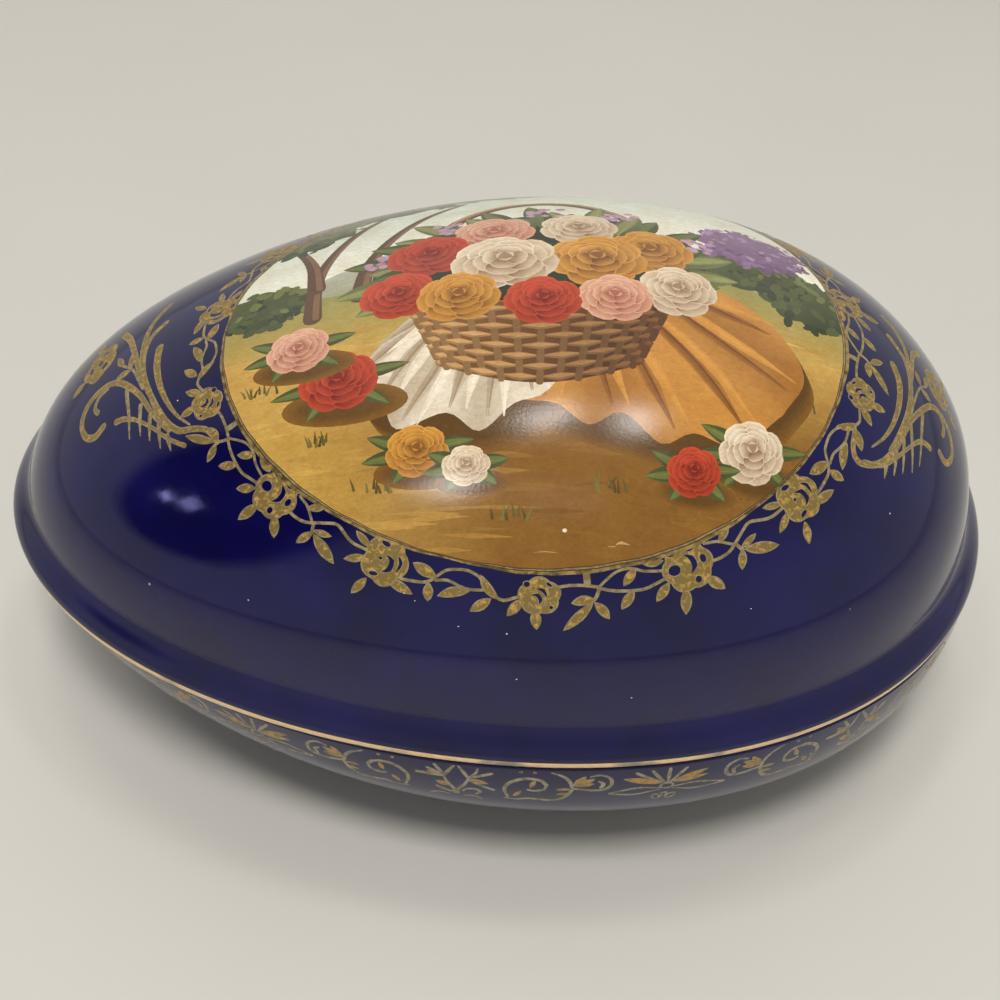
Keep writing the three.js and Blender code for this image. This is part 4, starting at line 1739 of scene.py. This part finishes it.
def make_base(materials):
    """The base: a bowl with its band, a foot ring below, and a gallery and white inside."""
    ruler = BandRuler()
    drawing = band_drawing(ruler, materials[GILT_LINE])
    angle = np.arange(SIDES) * TAU / SIDES
    rim_places = np.interp(np.mod(angle + math.pi / 2, TAU), ruler.angle + math.pi / 2, ruler.along)
    outline = ruler.place(np.stack([rim_places, np.zeros(SIDES)], -1))
    hole = ruler.place(np.stack([rim_places, np.full(SIDES, BAND_DEPTH)], -1))
    radius = ruler.radius
    reach = radius - GRID_MARGIN
    grid = grid_points(reach, reach, GRID)
    grid = grid[np.hypot(grid[:, 0], grid[:, 1]) > radius - BAND_DEPTH + GRID_MARGIN]
    shapes = [points for points, _ in drawing]
    flat, triangles, tops, rim, lower = cut(
        outline, hole, grid, shapes, lambda owners: max(owners, default=-1)
    )
    bowl_angle, fall = ruler.angle_and_fall(flat)
    shell = Shell()
    normals = slope_normal(bowl_surface, bowl_angle, np.maximum(fall, 2e-3))
    middle = np.array([0, 0, BOWL_TOP_Z])
    points = bowl_surface(bowl_angle, fall)
    outward = np.sign(((points - middle) * normals).sum(1, keepdims=True))
    shell.add_points(points, normals * outward)
    for triangle, top in zip(triangles, tops):
        shell.faces.append(tuple(triangle[::-1]))
        shell.finishes.append(drawing[top][1] if top >= 0 else GLAZE)

    # Down the bowl to the foot
    lower_fall = fall[lower]
    foot_fall = math.acos(FOOT_SHARE ** (BOWL_POWER / 2))
    ring = lower
    for step in range(1, BOWL_STEPS + 1):
        here = lower_fall + (foot_fall - lower_fall) * step / BOWL_STEPS
        following = shell.add_points(bowl_surface(angle, here))
        shell.add_ring_faces(ring, following, GLAZE)
        ring = following
    chamfer = FOOT_CHAMFER / FOOT_SHARE
    width = FOOT_RING_WIDTH / FOOT_SHARE
    foot = [
        (FOOT_SHARE, 0, FOOT_CHAMFER + 0.4, GLAZE),
        (FOOT_SHARE, 0, FOOT_CHAMFER, GLAZE),
        (FOOT_SHARE, 0.3 * chamfer, FOOT_CHAMFER * 0.3, BISCUIT),
        (FOOT_SHARE, chamfer, 0, BISCUIT),
        (FOOT_SHARE, width - chamfer, 0, BISCUIT),
        (FOOT_SHARE, width - 0.3 * chamfer, FOOT_CHAMFER * 0.4, BISCUIT),
        (FOOT_SHARE, width, FOOT_RECESS, WHITE_GLAZE),
    ]
    for share in (0.97, 0.8, 0.6, 0.4, 0.2):
        foot.append((FOOT_SHARE * share, width, FOOT_RECESS, WHITE_GLAZE))
    ring = shell.add_rings(ring, foot, angle)
    shell.close(ring, (0, 0, FOOT_RECESS), WHITE_GLAZE)

    # Up over the rim, the gallery and down the inside. Sections run the other way round
    edge = EDGE_ROUNDING
    rim_inset = bowl_inset(np.cos(angle), 0)
    top = []
    for turn in np.linspace(0, math.pi / 2, 6)[1:]:
        height = BOWL_TOP_Z + (LEDGE_Z - BOWL_TOP_Z) * math.sin(turn)
        top.append((1, rim_inset + RIM_ROUNDING * (1 - math.cos(turn)), height, GLAZE))
    top += [
        (1, GILT_UNDER_LIP, LEDGE_Z, GLAZE),
        (1, GALLERY_OUTER_INSET, LEDGE_Z, BISCUIT),
        (1, GALLERY_OUTER_INSET, GALLERY_TOP_Z - edge, WHITE_GLAZE),
        (1, GALLERY_OUTER_INSET + edge * 0.3, GALLERY_TOP_Z - edge * 0.3, WHITE_GLAZE),
        (1, GALLERY_OUTER_INSET + edge, GALLERY_TOP_Z, WHITE_GLAZE),
        (1, GALLERY_INNER_INSET - edge, GALLERY_TOP_Z, WHITE_GLAZE),
        (1, GALLERY_INNER_INSET - edge * 0.3, GALLERY_TOP_Z - edge * 0.3, WHITE_GLAZE),
        (1, GALLERY_INNER_INSET, GALLERY_TOP_Z - edge, WHITE_GLAZE),
    ]
    for step in range(INNER_BOWL_STEPS):
        turn = step / INNER_BOWL_STEPS * math.pi / 2
        share = math.cos(turn) ** (2 / BOWL_POWER)
        drop = math.sin(turn) ** (2 / BOWL_POWER)
        along = share * np.cos(angle)
        depth = (BOWL_DEPTH - BASE_WALL) * drop * (1 + BOWL_SWELL * along * (1 - drop**2))
        height = np.maximum(FLOOR_Z, BOWL_TOP_Z - depth)
        inset = inner_bowl_inset(height) + bowl_inset(along, drop)
        top.append((share, inset, height, WHITE_GLAZE))
    ring = shell.add_rings(rim, top, angle, inner=True)
    shell.close(ring, (0, 0, FLOOR_Z), WHITE_GLAZE, inner=True)
    return shell.build("egg_base", materials)


# The room: a pale table and soft studio light


def make_table():
    mesh = bpy.data.meshes.new("table")
    half = 1.6
    corners = [(-half, -half, 0), (half, -half, 0), (half, half, 0), (-half, half, 0)]
    mesh.from_pydata(corners, [], [(0, 1, 2, 3)])
    table = bpy.data.objects.new("table", mesh)
    bpy.context.scene.collection.objects.link(table)
    look = Look("pale table", 0.8)
    look.surface.inputs["Specular IOR Level"].default_value = 0.2
    look.colour(look.mix(look.noise(60), tone(213, 210, 202), tone(208, 205, 196)))
    mesh.materials.append(look.material)


def add_softbox(name, place, aim, size, power, colour=(1, 1, 1)):
    light = bpy.data.lights.new(name, "AREA")
    light.shape = "RECTANGLE"
    light.size, light.size_y = size
    light.energy = power
    light.color = colour
    lamp = bpy.data.objects.new(name, light)
    lamp.location = place
    lamp.rotation_euler = (Vector(aim) - Vector(place)).to_track_quat("-Z", "Y").to_euler()
    bpy.context.scene.collection.objects.link(lamp)
    return lamp


# A dark screen stands at the left, so that the glaze shows its own blue there. Its reach and its
# dark core are angles in radians, and its light is a share of the room's
SCREEN_HEADING = (-0.772, -0.13, 0.622)
SCREEN_REACH = 0.44
SCREEN_CORE = 0.35
SCREEN_LIGHT = 0.06


def light_room():
    """A pale room under a darker ceiling, with three soft lamps above and two small windows."""
    bpy.context.scene.view_settings.view_transform = "Standard"
    world = bpy.data.worlds.new("studio")
    bpy.context.scene.world = world
    world.use_nodes = True
    nodes, link = world.node_tree.nodes, world.node_tree.links.new
    place = nodes.new("ShaderNodeTexCoord")
    split = nodes.new("ShaderNodeSeparateXYZ")
    ramp = nodes.new("ShaderNodeValToRGB")
    link(place.outputs["Generated"], split.inputs["Vector"])
    link(split.outputs["Z"], ramp.inputs["Fac"])
    facing = nodes.new("ShaderNodeVectorMath")
    facing.operation = "DOT_PRODUCT"
    facing.inputs[1].default_value = SCREEN_HEADING
    link(place.outputs["Generated"], facing.inputs[0])
    screen = nodes.new("ShaderNodeMapRange")
    screen.inputs["From Min"].default_value = math.cos(SCREEN_REACH)
    screen.inputs["From Max"].default_value = math.cos(SCREEN_CORE)
    screen.inputs["To Min"].default_value = 1
    screen.inputs["To Max"].default_value = SCREEN_LIGHT
    link(facing.outputs["Value"], screen.inputs["Value"])
    link(ramp.outputs["Color"], nodes["Background"].inputs["Color"])
    link(screen.outputs["Result"], nodes["Background"].inputs["Strength"])
    stops = ramp.color_ramp.elements
    stops[0].position, stops[0].color = 0.0, (0.53, 0.52, 0.505, 1)
    stops[1].position, stops[1].color = 1.0, (0.33, 0.33, 0.33, 1)
    for position, level in ((0.4, 0.5), (0.65, 0.34)):
        stops.new(position).color = (level, level * 0.98, level * 0.95, 1)
    centre = Vector((0, 0, 0.06))
    warm, bluish = (1, 0.98, 0.95), (0.45, 0.45, 1)
    for name, heading, distance, size, power, tint in (
        ("lamp left", (-0.299, -0.276, 0.913), 1.25, (0.15, 0.15), 1.1, warm),
        ("lamp middle", (-0.053, 0.069, 0.996), 1.25, (0.19, 0.13), 1.3, warm),
        ("lamp right", (0.195, 0.043, 0.98), 1.25, (0.18, 0.13), 1.2, warm),
        ("upper window", (-0.875, -0.02, 0.483), 1.25, (0.075, 0.035), 0.09, bluish),
        ("lower window", (-0.843, -0.1, 0.529), 1.25, (0.09, 0.06), 0.12, bluish),
        ("ceiling panel", (0.0, 0.66, 0.75), 1.4, (2.0, 1.4), 3, warm),
        ("key light", (0.0, -0.4, 0.9), 0.75, (0.16, 0.16), 3.1, warm),
    ):
        lamp = add_softbox(name, centre + Vector(heading) * distance, centre, size, power, tint)
        # The key light only lights. A mirrored key would cover the picture
        lamp.visible_glossy = name != "key light"


# Where the photographer stood, in millimetres, and how far the camera was turned
CAMERA_PLACE = (-0.4, -186.4, 215.8)
CAMERA_AIM = (0.7, -3.1, SEAM_Z)
CAMERA_ROLL = 1.94
FOCAL_LENGTH = 53.49
SENSOR_WIDTH = 36.0


def make_camera():
    data = bpy.data.cameras.new("camera")
    data.lens = FOCAL_LENGTH
    data.sensor_width = SENSOR_WIDTH
    data.clip_start = 0.01
    camera = bpy.data.objects.new("camera", data)
    place = Vector(CAMERA_PLACE) * MM
    ahead = (Vector(CAMERA_AIM) * MM - place).normalized()
    right = ahead.cross(Vector((0, 0, 1))).normalized()
    up = right.cross(ahead)
    roll = math.radians(CAMERA_ROLL)
    across = right * math.cos(roll) + up * math.sin(roll)
    above = up * math.cos(roll) - right * math.sin(roll)
    turn = Matrix((across, above, -ahead)).transposed()
    camera.matrix_world = Matrix.Translation(place) @ turn.to_4x4()
    bpy.context.scene.collection.objects.link(camera)
    bpy.context.scene.camera = camera


make_camera()
make_table()
light_room()
finishes = make_materials()
for shell_piece, node in ((make_lid(finishes), "lid"), (make_base(finishes), "base")):
    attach(shell_piece, "root")
    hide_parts(node)
